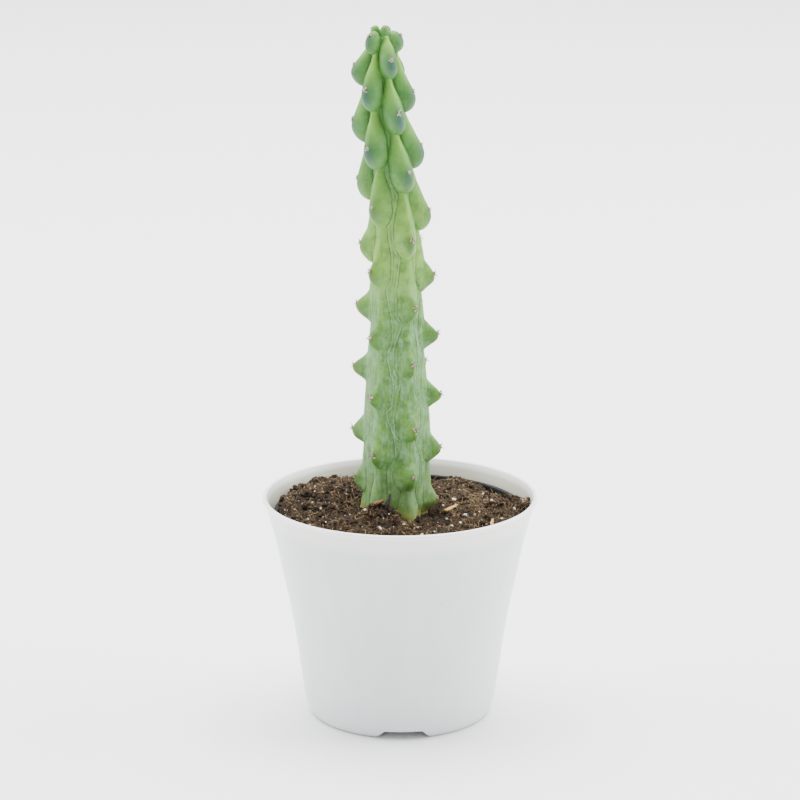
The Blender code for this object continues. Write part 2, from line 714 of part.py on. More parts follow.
def perlite_grain(place, size, draw):
    """A lumpy perlite grain, as a bmesh."""
    shape = bmesh.new()
    bmesh.ops.create_icosphere(shape, subdivisions=1, radius=size)
    for vert in shape.verts:
        vert.co *= draw.uniform(*PERLITE_ROUGHNESS)
    bmesh.ops.translate(shape, vec=place, verts=shape.verts)
    return shape


def fibre(start, heading, length, draw):
    """A thin bent root fibre that arches out of the soil and back in, as a three-sided bmesh."""
    levels = []
    bend = draw.uniform(-FIBRE_BEND, FIBRE_BEND)
    for step in range(FIBRE_STEPS + 1):
        share = step / FIBRE_STEPS
        turn = heading + (share - 0.5) * bend
        lift = (math.sin(math.pi * share) - 0.5) * FIBRE_ARCH
        middle = start + polar(turn, length * share, lift)
        across = polar(turn + 90.0, 1.0, 0.0)
        level = []
        for corner in range(3):
            around = math.tau * corner / 3 + math.pi / 2
            level.append(middle + across * FIBRE_RADIUS * math.cos(around)
                         + Vector((0, 0, 1)) * FIBRE_RADIUS * math.sin(around))
        levels.append(level)
    return ring_mesh(levels)


def soil_place(draw, inner, outer):
    """A random place on the soil's top, evenly spread between two distances from the pots' axis."""
    azimuth = draw.uniform(-180.0, 180.0)
    distance = math.sqrt(draw.uniform(inner ** 2, outer ** 2))
    place = polar(azimuth, distance, 0.0)
    return Vector((place.x, place.y, soil_height(place)))


def soil(collection):
    """The potting soil with its crumbs, perlite grains and the larger fibres."""
    material = make_material("potting_soil", POTTING_SOIL, 0.95)
    ground = add_bmesh("soil", soil_body(), collection, material)
    pieces = new_collection("soil_pieces")
    draw = random.Random(SOIL_SEED)
    for index in range(PERLITE_GRAINS):
        place = soil_place(draw, *PERLITE_ZONE)
        size = PERLITE_RADIUS * draw.uniform(*PERLITE_SIZES)
        add_bmesh(f"perlite_{index}", perlite_grain(place, size, draw), pieces)
    for index in range(FIBRES):
        place = soil_place(draw, *FIBRE_ZONE)
        heading = draw.uniform(0.0, 360.0)
        add_bmesh(f"fibre_{index}", fibre(place, heading, draw.uniform(*FIBRE_LENGTHS), draw), pieces)
    fuse(ground, pieces)
    shade_round(ground)
    return ground


def flake(length, width, thickness, far_width, seed):
    """A rough flat splinter along X, narrower at its far end, as a bmesh."""
    draw = random.Random(seed)
    shape = bmesh.new()
    bmesh.ops.create_cube(shape, size=1.0)
    bmesh.ops.subdivide_edges(shape, edges=shape.edges[:], cuts=1, use_grid_fill=True)
    for vert in shape.verts:
        share = vert.co.x + 0.5
        slim = 1.0 - (1.0 - far_width) * share ** FLAKE_TAPER_POWER
        vert.co.x *= length
        vert.co.y *= width * slim * draw.uniform(*FLAKE_ROUGHNESS)
        vert.co.z *= thickness * slim * draw.uniform(*FLAKE_ROUGHNESS)
    return shape


def clearance(upper, lower):
    """Least height of free air between a mesh and one under it, both in world space."""
    upper_tree = BVHTree.FromPolygons([v.co for v in upper.vertices], [p.vertices for p in upper.polygons])
    lower_tree = BVHTree.FromPolygons([v.co for v in lower.vertices], [p.vertices for p in lower.polygons])
    down = Vector((0, 0, -1))
    least = 1.0
    for vert in upper.vertices:
        distance = lower_tree.ray_cast(vert.co, down)[3]
        if distance is not None:
            least = min(least, distance)
    for vert in lower.vertices:
        distance = upper_tree.ray_cast(vert.co, -down)[3]
        if distance is not None:
            least = min(least, distance)
    return least


def loose_piece(name, chip, ground, collection):
    """A splinter that lies on the soil, let down onto it with a small gap left."""
    shape = flake(chip["length"], chip["width"], chip["thickness"], chip["far_width"], chip["seed"])
    tilt = Matrix.Rotation(math.radians(-chip["lean"]), 3, "Y")
    spin = Matrix.Rotation(math.radians(chip["azimuth"] + chip["turn"]), 3, "Z")
    place = polar(chip["azimuth"], chip["distance"], SOIL_LEVEL + DROP_HEIGHT)
    bmesh.ops.rotate(shape, cent=(0, 0, 0), matrix=spin @ tilt, verts=shape.verts)
    bmesh.ops.translate(shape, vec=place, verts=shape.verts)
    piece = add_bmesh(name, shape, collection, make_material(name, chip["colour"], 0.8))
    fall = clearance(piece.data, ground.data) - GAP
    piece.data.transform(Matrix.Translation((0.0, 0.0, -fall)))
    return piece


def main():
    """Build the potted plant."""
    clear_scene()
    collection = new_collection(NAME)
    outer_pot(collection)
    inner_pot(collection)
    ground = soil(collection)
    cactus(collection)
    for name, chip in LOOSE_PIECES.items():
        loose_piece(name, chip, ground, collection)


main()
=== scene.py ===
"""Looks of the potted myrtillocactus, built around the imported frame.

Metres, +Z up, -Y to the front. Azimuths are degrees from the front towards +X. The plant, the soil, the
pots and the loose pieces are finer forms of the CAD nodes, in the same places.
"""
import math
import random

import bmesh
import bpy
import numpy as np
from mathutils import Matrix, Vector, noise


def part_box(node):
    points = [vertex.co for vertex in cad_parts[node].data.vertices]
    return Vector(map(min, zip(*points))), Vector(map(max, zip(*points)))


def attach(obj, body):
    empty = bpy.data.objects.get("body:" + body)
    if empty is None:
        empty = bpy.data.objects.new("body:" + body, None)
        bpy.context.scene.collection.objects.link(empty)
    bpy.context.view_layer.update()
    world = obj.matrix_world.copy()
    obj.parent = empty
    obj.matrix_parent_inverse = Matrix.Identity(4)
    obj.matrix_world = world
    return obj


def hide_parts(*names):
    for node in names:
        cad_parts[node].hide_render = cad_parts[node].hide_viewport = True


BODY = "root"
MM = 0.001

# Camera, as far away and as high as the photograph's ellipses of the rim and the foot say
CAMERA_PLACE = (0.0, -1.250, 0.474)
CAMERA_PITCH = 15.44
CAMERA_LENS = 148.05
CAMERA_SENSOR = 36.0

# Plant: the same ribs as the CAD stem, each with one more bare lobe that goes down into the soil
AXIS_BASE_OFFSET = -0.0014
AXIS_TOP_OFFSET = -0.0067
AXIS_BEND = (0.190, 0.260)
YOUNG_ABOVE = 0.270
BARE_BELOW = 0.0870
RIBS = (
    # azimuth; areole heights from the top down; how far each tubercle leans sideways off the rib's azimuth
    (-98.0, (0.2621, 0.2407, 0.2179, 0.1924, 0.1676, 0.1428, 0.1170, 0.0971, 0.0760),
     (0.0, 1.0, -1.0, 1.5, 0.0, -1.0, 0.0, 0.0, 0.0)),
    (-38.0, (0.2743, 0.2539, 0.2315, 0.2088, 0.1828, 0.1572, 0.1334, 0.1105, 0.0790),
     (4.5, 3.5, 3.0, 0.0, -5.6, 0.0, 3.2, 7.0, 2.0)),
    (22.0, (0.2656, 0.2450, 0.2224, 0.1962, 0.1695, 0.1466, 0.1207, 0.1014, 0.0790),
     (-1.0, 7.0, 10.0, 3.4, 7.0, 1.0, 2.4, 0.0, 0.0)),
    (82.0, (0.2734, 0.2522, 0.2312, 0.2061, 0.1806, 0.1566, 0.1323, 0.1106, 0.0893, 0.0690),
     (0.0, 1.0, 2.0, 0.0, 1.0, 2.0, 0.0, 0.0, 0.0, 0.0)),
    (142.0, (0.2614, 0.2391, 0.2167, 0.1915, 0.1660, 0.1420, 0.1180, 0.0980, 0.0770),
     (0.0, 2.0, 3.0, -2.0, 2.0, -3.0, 1.0, 3.0, 0.0)),
    (-158.0, (0.2725, 0.2525, 0.2305, 0.2070, 0.1815, 0.1565, 0.1320, 0.1100, 0.0895, 0.0690),
     (0.0, -2.0, 3.0, -2.0, 2.0, -3.0, 2.0, -1.0, 0.0, 0.0)),
)
TIP_OUTLINE = (
    # height, distance of the areoles from the stem's axis
    (0.085, 0.0163),
    (0.110, 0.0178),
    (0.132, 0.0180),
    (0.160, 0.0165),
    (0.190, 0.0147),
    (0.205, 0.0143),
    (0.235, 0.0139),
    (0.250, 0.0127),
    (0.262, 0.0125),
    (0.275, 0.0078),
)
AXIL_OUTLINE = (
    # height, distance of the rib's crest from the axis between two tubercles
    (0.085, 0.0134),
    (0.125, 0.0130),
    (0.155, 0.0104),
    (0.185, 0.0094),
    (0.215, 0.0084),
    (0.245, 0.0078),
    (0.275, 0.0052),
)
FURROW_OUTLINE = (
    # height, distance of the furrows between the ribs from the axis
    (0.085, 0.0126),
    (0.125, 0.0123),
    (0.155, 0.0102),
    (0.185, 0.0092),
    (0.215, 0.0078),
    (0.245, 0.0064),
    (0.275, 0.0040),
)
YOUNG_TUBERCLES = (
    # azimuth, centre's distance from the axis and height; half sizes outwards, sideways and up
    (-44.0, 0.0048, 0.2710, 0.0038, 0.0028, 0.0046),
    (82.0, 0.0040, 0.2710, 0.0042, 0.0034, 0.0044),
    (-158.0, 0.0043, 0.2704, 0.0040, 0.0031, 0.0047),
    (22.0, 0.0022, 0.2747, 0.0020, 0.0019, 0.0030),
    (-98.0, 0.0027, 0.2744, 0.0020, 0.0019, 0.0029),
    (142.0, 0.0024, 0.2741, 0.0020, 0.0019, 0.0029),
)
TOP_PITCH = 0.0125
FOOT_PITCH = 0.0200
LONGEST_UNDERSIDE_GAP = 0.0235
UNDERSIDE_SHARES = (0.30, 0.41)
CREASE_PHASE = 0.34
UNDERSIDE_POWER = 2.3
TIPS_BELOW_AREOLES = (0.0012, 0.0016)
CORNER_ROUNDING = 0.0026
KEEL_SHARES = (0.40, 0.60)
FLUSH_POWER = 1.6
NECK_HALF_ANGLES = (14.5, 17.0)
LOBE_HALF_ANGLES = (26.5, 36.0)
OLD_BELOW = 0.150
FRESH_ABOVE = 0.240
WIDEST_ABOVE_AREOLE = 0.0035
KNOB_START = 0.155
KNOB_END = 0.220
KNOB_SHARE = 0.74
KNOB_ABOVE = 0.0070
KNOB_BELOW = 0.0058
KNOB_SIDE = 0.0044
KNOB_POWER = 1.7
GROOVE_DEPTH = 0.00026
GROOVE_WIDTH = 0.00026
INSIDE_COLUMNS = (0.0, 0.08, 0.16, 0.25, 0.35, 0.46, 0.57, 0.68, 0.78, 0.86, 0.92, 0.965, 1.0)
STRIP_COLUMNS = (0.14, 0.34, 0.64)
ROW_STEP = 0.024
FINE_ROW_STEP = 0.012
FINE_ROW_SHARE = 0.085
FIRST_ROW = -0.4
STEM_TOP = 0.2742
STEM_BOTTOM = 0.0790
YOUNG_AREOLE_LIFT = 42.0
WANDER_DEGREES = 2.4
WANDER_HEIGHT = 0.0006
FOOT_DENT = (66.0, 20.0, 0.15)
FOOT_DENT_HEIGHTS = (0.0890, 0.0845)

# Soil
SOIL_LEVEL = 0.0843
SOIL_EDGE = 0.0481
SOIL_MOUNDS = (
    # azimuth, distance from the stem's axis, height, spread
    (-125.0, 0.034, 0.0026, 0.016),
    (-80.0, 0.036, 0.0016, 0.014),
    (-100.0, 0.046, 0.0010, 0.008),
    (94.0, 0.047, 0.0026, 0.006),
    (135.0, 0.030, -0.0014, 0.014),
    (112.0, 0.0475, -0.0024, 0.006),
    (128.0, 0.048, -0.0028, 0.008),
    (165.0, 0.047, -0.0034, 0.009),
    (-112.0, 0.0190, -0.0048, 0.0058),
    (62.0, 0.0165, -0.0036, 0.0050),
    (25.0, 0.0170, -0.0014, 0.0050),
    (-100.0, 0.0330, -0.0014, 0.0040),
    (-62.0, 0.0300, -0.0012, 0.0035),
    (-30.4, 0.0176, 0.0062, 0.0060),
    (-8.2, 0.0178, 0.0024, 0.0055),
)
# Larger white grains: x, y, radius
LARGE_GRAINS = (
    (-0.0080, -0.0281, 0.00100),
    (-0.0137, -0.0177, 0.00060),
    (-0.0013, -0.0280, 0.00040),
    (0.0026, -0.0345, 0.00040),
    (0.0085, -0.0375, 0.00075),
    (0.0133, -0.0316, 0.00042),
    (0.0183, -0.0163, 0.00040),
    (0.0172, 0.0027, 0.00042),
    (0.0217, 0.0100, 0.00085),
    (0.0259, -0.0107, 0.00090),
    (0.0338, 0.0201, 0.00062),
    (0.0366, 0.0040, 0.00068),
    (0.0402, -0.0147, 0.00050),
    (0.0454, -0.0027, 0.00060),
    (0.0235, -0.0228, 0.00060),
    (0.0259, 0.0348, 0.00058),
)

# Pots
POT_HEIGHT = 0.0898
POT_RIM_RADIUS = 0.0546
POT_STEPS = 160
POT_WALL = 0.0013
POT_WALL_OUTLINE = (
    # height, outer radius
    (0.0880, 0.05312),
    (0.0850, 0.05264),
    (0.0750, 0.05004),
    (0.0600, 0.04695),
    (0.0450, 0.04386),
    (0.0300, 0.04141),
    (0.0200, 0.04009),
    (0.0120, 0.03893),
    (0.0075, 0.03830),
    (0.0045, 0.03759),
    (0.0025, 0.03689),
    (0.0010, 0.03607),
)
INNER_RIM_TOP = 0.0836


def linear(red, green, blue):
    """A colour for a shader from 0 to 255 display values."""
    channels = []
    for value in (red, green, blue):
        share = value / 255.0
        channels.append(share / 12.92 if share <= 0.04045 else ((share + 0.055) / 1.055) ** 2.4)
    return (*channels, 1.0)


def polar(azimuth, distance, height):
    """A point by its azimuth, its distance from Z and its height."""
    turn = math.radians(azimuth)
    return Vector((distance * math.sin(turn), -distance * math.cos(turn), height))


def smooth(value):
    """Ease from 0 to 1 as a value goes from 0 to 1."""
    share = np.clip(value, 0.0, 1.0)
    return share * share * (3.0 - 2.0 * share)


def read_outline(outline, height):
    """The distance that (height, distance) points give at a height."""
    heights, distances = zip(*outline)
    return np.interp(height, heights, distances)


class Shader:
    """A material that is put together node by node."""

    def __init__(self, name, roughness=0.5, **constants):
        self.material = bpy.data.materials.new(name)
        self.material.use_nodes = True
        self.tree = self.material.node_tree
        self.surface = self.tree.nodes["Principled BSDF"]
        self.surface.inputs["Roughness"].default_value = roughness
        for socket, value in constants.items():
            self.surface.inputs[socket.replace("_", " ")].default_value = value
        coordinates = self.tree.nodes.new("ShaderNodeTexCoord")
        self.place = coordinates.outputs["Object"]
        split = self.node("ShaderNodeSeparateXYZ", {0: self.place})
        self.height = split.outputs["Z"]

    def feed(self, socket, value):
        """Link a socket to another or give it a value."""
        if isinstance(value, bpy.types.NodeSocket):
            self.tree.links.new(value, socket)
        else:
            socket.default_value = value

    def node(self, kind, inputs, **settings):
        """Add a node with some of its inputs and settings given."""
        made = self.tree.nodes.new(kind)
        for name, value in settings.items():
            setattr(made, name, value)
        for key, value in inputs.items():
            self.feed(made.inputs[key], value)
        return made

    def stretched(self, scale):
        """The place, scaled by axis."""
        return self.node("ShaderNodeMapping", {"Vector": self.place, "Scale": scale}).outputs[0]

    def grain(self, scale, detail=3.0, roughness=0.55, where=None, distortion=0.0):
        """Noise from 0 to 1."""
        inputs = {"Vector": where or self.place, "Scale": scale, "Detail": detail, "Roughness": roughness,
                  "Distortion": distortion}
        return self.node("ShaderNodeTexNoise", inputs).outputs[0]

    def band(self, value, low, high, start=0.0, end=1.0):
        """Ease from start to end as a value goes from low to high."""
        inputs = {"Value": value, "From Min": low, "From Max": high, "To Min": start, "To Max": end}
        made = self.node("ShaderNodeMapRange", inputs, interpolation_type="SMOOTHSTEP")
        return made.outputs[0]

    def mix(self, share, first, second, blend="MIX"):
        """Mix two colours."""
        made = self.node("ShaderNodeMix", {0: share, 6: first, 7: second}, data_type="RGBA", blend_type=blend)
        return made.outputs[2]

    def combine(self, operation, first, second):
        """A sum on two numbers."""
        return self.node("ShaderNodeMath", {0: first, 1: second}, operation=operation).outputs[0]

    def attribute(self, name):
        """A number that the mesh carries at each point."""
        return self.node("ShaderNodeAttribute", {}, attribute_name=name).outputs["Fac"]

    def colour(self, value):
        """Set the base colour."""
        self.feed(self.surface.inputs["Base Color"], value)

    def bumps(self, *layers):
        """Chain bump nodes, each from a height and its depth in metres."""
        normal = None
        for height, depth in layers:
            made = self.node("ShaderNodeBump", {"Height": height, "Strength": 1.0, "Distance": depth})
            if normal is not None:
                self.feed(made.inputs["Normal"], normal)
            normal = made.outputs[0]
        self.feed(self.surface.inputs["Normal"], normal)


def white_plastic():
    """Satin white plastic: darker and cooler with painted shade where the black pot stands behind the wall, a paler
    band of painted light above, a painted highlight on the lip and painted warm shade on the inside.
    """
    look = Shader("white_plastic", 0.36, IOR=1.48)
    drift = look.grain(28.0, 2.0)
    # Painted shade: the wall's white, darker and cooler where the black pot stands behind it.
    body = look.mix(drift, linear(208, 214, 216), linear(216, 221, 222))
    # Painted light: a paler band above the black pot's rim, where light comes through the wall.
    above = look.mix(drift, linear(232, 232, 229), linear(238, 238, 235))
    wavy = look.combine("ADD", look.height, look.combine("MULTIPLY", look.grain(60.0, 1.0), 0.0022))
    base = look.mix(look.band(wavy, 0.0800, 0.0856), body, above)
    flow = look.grain(90.0, 2.0, where=look.stretched((1.0, 1.0, 0.04)))
    base = look.mix(look.band(flow, 0.35, 0.75, 0.0, 0.10), base, linear(246, 247, 247))
    # Painted highlight: a brighter line along the lip.
    lip = look.band(look.height, 0.0879, 0.0886)
    base = look.mix(lip, base, linear(244, 245, 244))
    # Painted shade: the inner wall darker and warmer, less so up at the lip.
    painted_shade_inside = look.band(look.attribute("inside"), 0.2, 0.8)
    base = look.mix(look.combine("MULTIPLY", painted_shade_inside, look.band(lip, 0.0, 1.0, 0.9, 0.2)), base,
                    look.mix(drift, linear(182, 181, 164), linear(194, 193, 177)))
    specks = look.grain(420.0, 0.0)
    base = look.mix(look.band(specks, 0.87, 0.90, 0.0, 0.5), base, linear(170, 166, 160))
    look.colour(base)
    look.feed(look.surface.inputs["Roughness"], look.band(look.grain(160.0, 3.0), 0.3, 0.7, 0.28, 0.42))
    look.bumps((flow, 0.00006), (look.grain(900.0, 2.0), 0.00002))
    return look.material


def black_plastic():
    """Matt black plastic with soil dust on it."""
    look = Shader("black_plastic", 0.6, Specular_IOR_Level=0.2)
    dust = look.band(look.grain(500.0, 4.0), 0.56, 0.80, 0.0, 0.35)
    look.colour(look.mix(dust, linear(17, 18, 20), linear(48, 41, 33)))
    look.feed(look.surface.inputs["Roughness"], look.band(dust, 0.0, 0.35, 0.55, 0.9))
    look.bumps((look.grain(1400.0, 2.0), 0.00003))
    return look.material


def soil_look(name, dark, light):
    """Damp peat: dark brown with paler crumbs and specks."""
    look = Shader(name, 0.95, Specular_IOR_Level=0.2)
    clumps = look.grain(230.0, 4.0, 0.65)
    fine = look.grain(1500.0, 3.0, 0.6)
    base = look.mix(look.band(clumps, 0.34, 0.68), dark, light)
    base = look.mix(look.band(fine, 0.56, 0.70, 0.0, 0.50), base, linear(104, 84, 58))
    base = look.mix(look.band(look.grain(900.0, 2.0), 0.56, 0.70, 0.0, 0.7), base, linear(27, 20, 16))
    look.colour(base)
    look.bumps((look.grain(1100.0, 5.0, 0.7), 0.0009), (look.grain(3600.0, 3.0), 0.0003))
    return look.material


def wood_look(name, dark, light, roughness=0.8):
    """Fibrous wood or bark in two tones."""
    look = Shader(name, roughness)
    streaks = look.grain(900.0, 4.0, 0.6, distortion=1.5)
    blotches = look.grain(380.0, 3.0)
    base = look.mix(look.band(streaks, 0.35, 0.68), dark, light)
    base = look.mix(look.band(blotches, 0.55, 0.75, 0.0, 0.4), base, dark)
    look.colour(base)
    look.bumps((streaks, 0.0003))
    return look.material


def perlite_look():
    """Rough white perlite, with soil dust in its pits."""
    look = Shader("perlite", 0.9)
    dust = look.band(look.grain(1300.0, 3.0), 0.52, 0.72, 0.0, 0.65)
    look.colour(look.mix(dust, linear(222, 218, 208), linear(138, 118, 94)))
    look.bumps((look.grain(2600.0, 3.0), 0.0003))
    return look.material


def wool_look():
    """Short cream wool."""
    look = Shader("areole_wool", 0.95, Sheen_Weight=0.3)
    look.colour(look.mix(look.grain(2600.0, 3.0), linear(214, 196, 184), linear(160, 128, 120)))
    look.bumps((look.grain(5200.0, 2.0), 0.0002))
    return look.material


def spine_look():
    """Dark red-brown spines."""
    look = Shader("cactus_spines", 0.5)
    look.colour(look.mix(look.grain(700.0, 2.0), linear(38, 22, 22), linear(84, 48, 44)))
    look.bumps((look.grain(3000.0, 2.0), 0.00005))
    return look.material


def skin_look():
    """Cactus skin: fresh green above, older, waxy and blotched below; painted shade in the creases and under the
    areoles, a painted highlight beside the creases, and painted light towards the foot.
    """
    look = Shader("cactus_skin", 0.55, Specular_IOR_Level=0.3, Subsurface_Weight=0.08,
                  Subsurface_Radius=(0.6, 1.0, 0.3), Subsurface_Scale=0.0012)
    warp = look.combine("MULTIPLY", look.combine("SUBTRACT", look.grain(420.0, 2.0), 0.5), 0.9)
    rim = look.combine("ADD", look.attribute("rim"), warp)
    down = look.attribute("down")
    neck = look.attribute("neck")
    spot = look.attribute("spot")
    knob = look.attribute("knob")
    age = look.band(look.height, 0.240, 0.190)
    drift = look.grain(170.0, 4.0, 0.6)
    patch = look.grain(260.0, 5.0, 0.65)
    fine = look.grain(900.0, 4.0, 0.6)
    streaks = look.grain(900.0, 3.0, 0.6, where=look.stretched((1.0, 1.0, 0.12)))
    broken = look.band(look.grain(300.0, 3.0, 0.6), 0.38, 0.62, 0.25, 1.0)
    fresh = look.mix(look.band(drift, 0.3, 0.7), linear(60, 109, 46), linear(80, 131, 62))
    fresh = look.mix(look.combine("MULTIPLY", neck, 0.9), fresh, linear(124, 178, 66))
    # Painted shade: darker green near the tubercles' outlines, in the creases.
    fresh = look.mix(look.band(rim, -1.2, 0.1, 0.0, 0.6), fresh, linear(62, 104, 36))
    old = look.mix(look.band(drift, 0.35, 0.65), linear(62, 104, 40), linear(88, 132, 58))
    yellow = look.band(look.grain(330.0, 4.0, 0.65), 0.46, 0.64, 0.0, 0.85)
    inside = look.band(rim, -3.4, -1.2, 1.0, 0.15)
    old = look.mix(look.combine("MULTIPLY", yellow, inside), old, linear(98, 146, 30))
    mottle = look.combine("ADD", look.combine("MULTIPLY", streaks, 0.45), look.combine("MULTIPLY", patch, 0.65))
    waxy = look.band(mottle, 0.46, 0.68)
    waxy = look.combine("MULTIPLY", waxy, look.band(knob, 0.15, 0.6, 0.80, 0.12))
    waxy = look.combine("MULTIPLY", waxy, look.band(look.height, 0.225, 0.165, 0.25, 1.0))
    old = look.mix(waxy, old, linear(118, 160, 112))
    shade = look.band(fine, 0.50, 0.72, 0.0, 0.55)
    old = look.mix(shade, old, linear(58, 98, 40))
    pale_zone = look.combine("MULTIPLY", look.band(look.height, 0.160, 0.185), look.band(look.height, 0.225, 0.205))
    old = look.mix(look.combine("MULTIPLY", pale_zone, look.band(patch, 0.35, 0.60, 0.25, 0.70)), old,
                   linear(126, 168, 66))
    base = look.mix(age, fresh, old)
    # Painted shade: darker around and below the areoles of the fresh tubercles.
    base = look.mix(look.combine("MULTIPLY", knob, look.band(age, 0.0, 1.0, 0.60, 0.0)), base, linear(48, 94, 54))
    # Painted shade: a darker teal spot under each areole, stronger higher up.
    base = look.mix(look.combine("MULTIPLY", spot, look.band(look.height, 0.12, 0.24, 0.30, 0.85)), base,
                    linear(50, 86, 74))
    green_tip = look.combine("MULTIPLY", knob, look.band(age, 0.0, 1.0, 0.0, 0.75))
    base = look.mix(green_tip, base, look.mix(fine, linear(52, 92, 28), linear(90, 130, 36)))
    # Painted highlight: a pale line just outside each tubercle's outline, on the older skin.
    edge = look.band(look.combine("ABSOLUTE", look.combine("SUBTRACT", rim, 0.50), 0.0), 0.04, 0.30, 0.42, 0.0)
    edge = look.combine("MULTIPLY", edge, look.combine("MULTIPLY", age, broken))
    base = look.mix(edge, base, linear(150, 184, 146))
    # Painted shade: a darker line a little further out.
    second = look.band(look.combine("ABSOLUTE", look.combine("SUBTRACT", rim, 1.05), 0.0), 0.04, 0.26, 0.5, 0.0)
    base = look.mix(look.combine("MULTIPLY", second, look.combine("MULTIPLY", age, broken)), base,
                    linear(56, 96, 52))
    # Painted shade: a dark line along each tubercle's outline, in the crease, fainter on the undersides.
    line = look.band(look.combine("ABSOLUTE", rim, 0.0), 0.04, 0.28, 0.75, 0.0)
    line = look.combine("MULTIPLY", line, look.combine("MULTIPLY", look.band(down, 0.3, 1.0, 1.0, 0.35), broken))
    base = look.mix(look.combine("MULTIPLY", line, look.band(look.height, 0.262, 0.225)), base,
                    linear(44, 82, 44))
    stain = look.combine("ADD", look.height, look.combine("MULTIPLY", look.grain(300.0, 3.0), 0.006))
    # Painted light: the stem lighter towards its foot, against the shade there.
    base = look.mix(look.band(look.height, 0.1060, 0.0900, 0.0, 0.35), base, linear(118, 146, 84))
    base = look.mix(look.band(stain, 0.0925, 0.0868, 0.0, 0.60), base, linear(128, 122, 52))
    specks = look.band(look.grain(1100.0, 0.0), 0.82, 0.86, 0.0, 0.45)
    base = look.mix(specks, base, linear(160, 176, 124))
    look.colour(base)
    look.feed(look.surface.inputs["Roughness"], look.band(waxy, 0.0, 0.7, 0.50, 0.70))
    look.bumps((streaks, 0.00016), (patch, 0.00018), (fine, 0.00010), (look.grain(3200.0, 2.0), 0.00003))
    return look.material


def floor_look():
    """Plain pale floor."""
    look = Shader("studio_floor", 0.9, Specular_IOR_Level=0.1)
    look.colour(linear(246, 246, 246))
    return look.material


def new_object(name, mesh, material, smooth_faces=True):
    """Put a mesh in the scene."""
    mesh.materials.clear()
    mesh.materials.append(material)
    thing = bpy.data.objects.new(name, mesh)
    bpy.context.scene.collection.objects.link(thing)
    if smooth_faces:
        mesh.shade_smooth()
    return thing


def mesh_from(name, points, faces):
    """A mesh from points and faces."""
    mesh = bpy.data.meshes.new(name)
    mesh.from_pydata([tuple(point) for point in points], [], faces)
    mesh.update()
    return mesh


def place_piece(thing, slot, *nodes):
    """Let a piece ride on the object and stand for CAD nodes; the slot is not used."""
    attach(thing, BODY)
    if nodes:
        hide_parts(*nodes)
    return thing


def ring_faces(rings, count):
    """Quads between rings of points that follow each other, outwards when the rings go down."""
    faces = []
    for ring in range(rings - 1):
        start = ring * count
        for index in range(count):
            after = (index + 1) % count
            faces.append((start + index, start + count + index, start + count + after, start + after))
    return faces


def axis_offset(height):
    """Sideways place of the stem's axis at a height."""
    bend = smooth((height - AXIS_BEND[0]) / (AXIS_BEND[1] - AXIS_BEND[0]))
    return AXIS_BASE_OFFSET + (AXIS_TOP_OFFSET - AXIS_BASE_OFFSET) * bend


def freshness(height):
    """From 0 on the old part of the stem to 1 on its young part."""
    return smooth((height - OLD_BELOW) / (FRESH_ABOVE - OLD_BELOW))


def between(pair, share):
    """A value between two."""
    return pair[0] + (pair[1] - pair[0]) * share


def knob_height(outward):
    """Height of a knob from 1 at its round tip to 0 at its foot, by the share of its half size."""
    return (1.0 - np.clip(outward, 0.0, 1.0) ** 2) ** KNOB_POWER


def lobe_gaps(areoles, index):
    """Length of a lobe above and below its areole, from the distances to the next areoles."""
    share = between(UNDERSIDE_SHARES, float(freshness(areoles[index])))
    above = areoles[index - 1] - areoles[index] if index else TOP_PITCH
    last = index + 1 == len(areoles)
    below = areoles[index] - areoles[index + 1] if not last else FOOT_PITCH
    return above * (1.0 - share), min(below, LONGEST_UNDERSIDE_GAP) * share


def rib_line(rib, height):
    """Azimuth of a rib's middle at heights, which wanders from tubercle to tubercle."""
    azimuth, areoles, shifts = rib
    line = np.full(np.shape(height), azimuth + shifts[-1])
    line = np.where(height >= areoles[0], azimuth + shifts[0], line)
    for upper, lower, start, end in zip(areoles, areoles[1:], shifts, shifts[1:]):
        share = smooth((upper - height) / (upper - lower))
        line = np.where((height < upper) & (height >= lower), azimuth + start + (end - start) * share, line)
    return line


def lobe_width(below, rise, height):
    """Half width of a lobe in degrees: it widens from its neck to a little above the areole."""
    fresh = freshness(height)
    grown = np.clip((below + rise) / (rise - WIDEST_ABOVE_AREOLE), 0.0, 1.0)
    narrow = between(NECK_HALF_ANGLES, fresh)
    return narrow + (between(LOBE_HALF_ANGLES, fresh) - narrow) * smooth(grown)


def swelling(across, sunk, fresh):
    """Height of a lobe from 1 at its crest to 0 at its outline: bulging when fresh, nearly flush when old."""
    spread = across ** 2 + sunk ** UNDERSIDE_POWER
    dome = np.clip(1.0 - spread, 0.0, 1.0)
    downwards = sunk ** UNDERSIDE_POWER / (spread + 1e-9)
    bulging = KEEL_SHARES[0] * np.sqrt(dome) + KEEL_SHARES[1] * dome ** 2
    sideways = between((dome ** FLUSH_POWER, bulging), fresh)
    return downwards * np.sqrt(dome) + (1.0 - downwards) * sideways, downwards


def rounded(share, softness):
    """A share that stops growing at 1, with a soft corner."""
    blend = np.clip(0.5 + 0.5 * (1.0 - share) / softness, 0.0, 1.0)
    return 1.0 + (share - 1.0) * blend - softness * blend * (1.0 - blend)


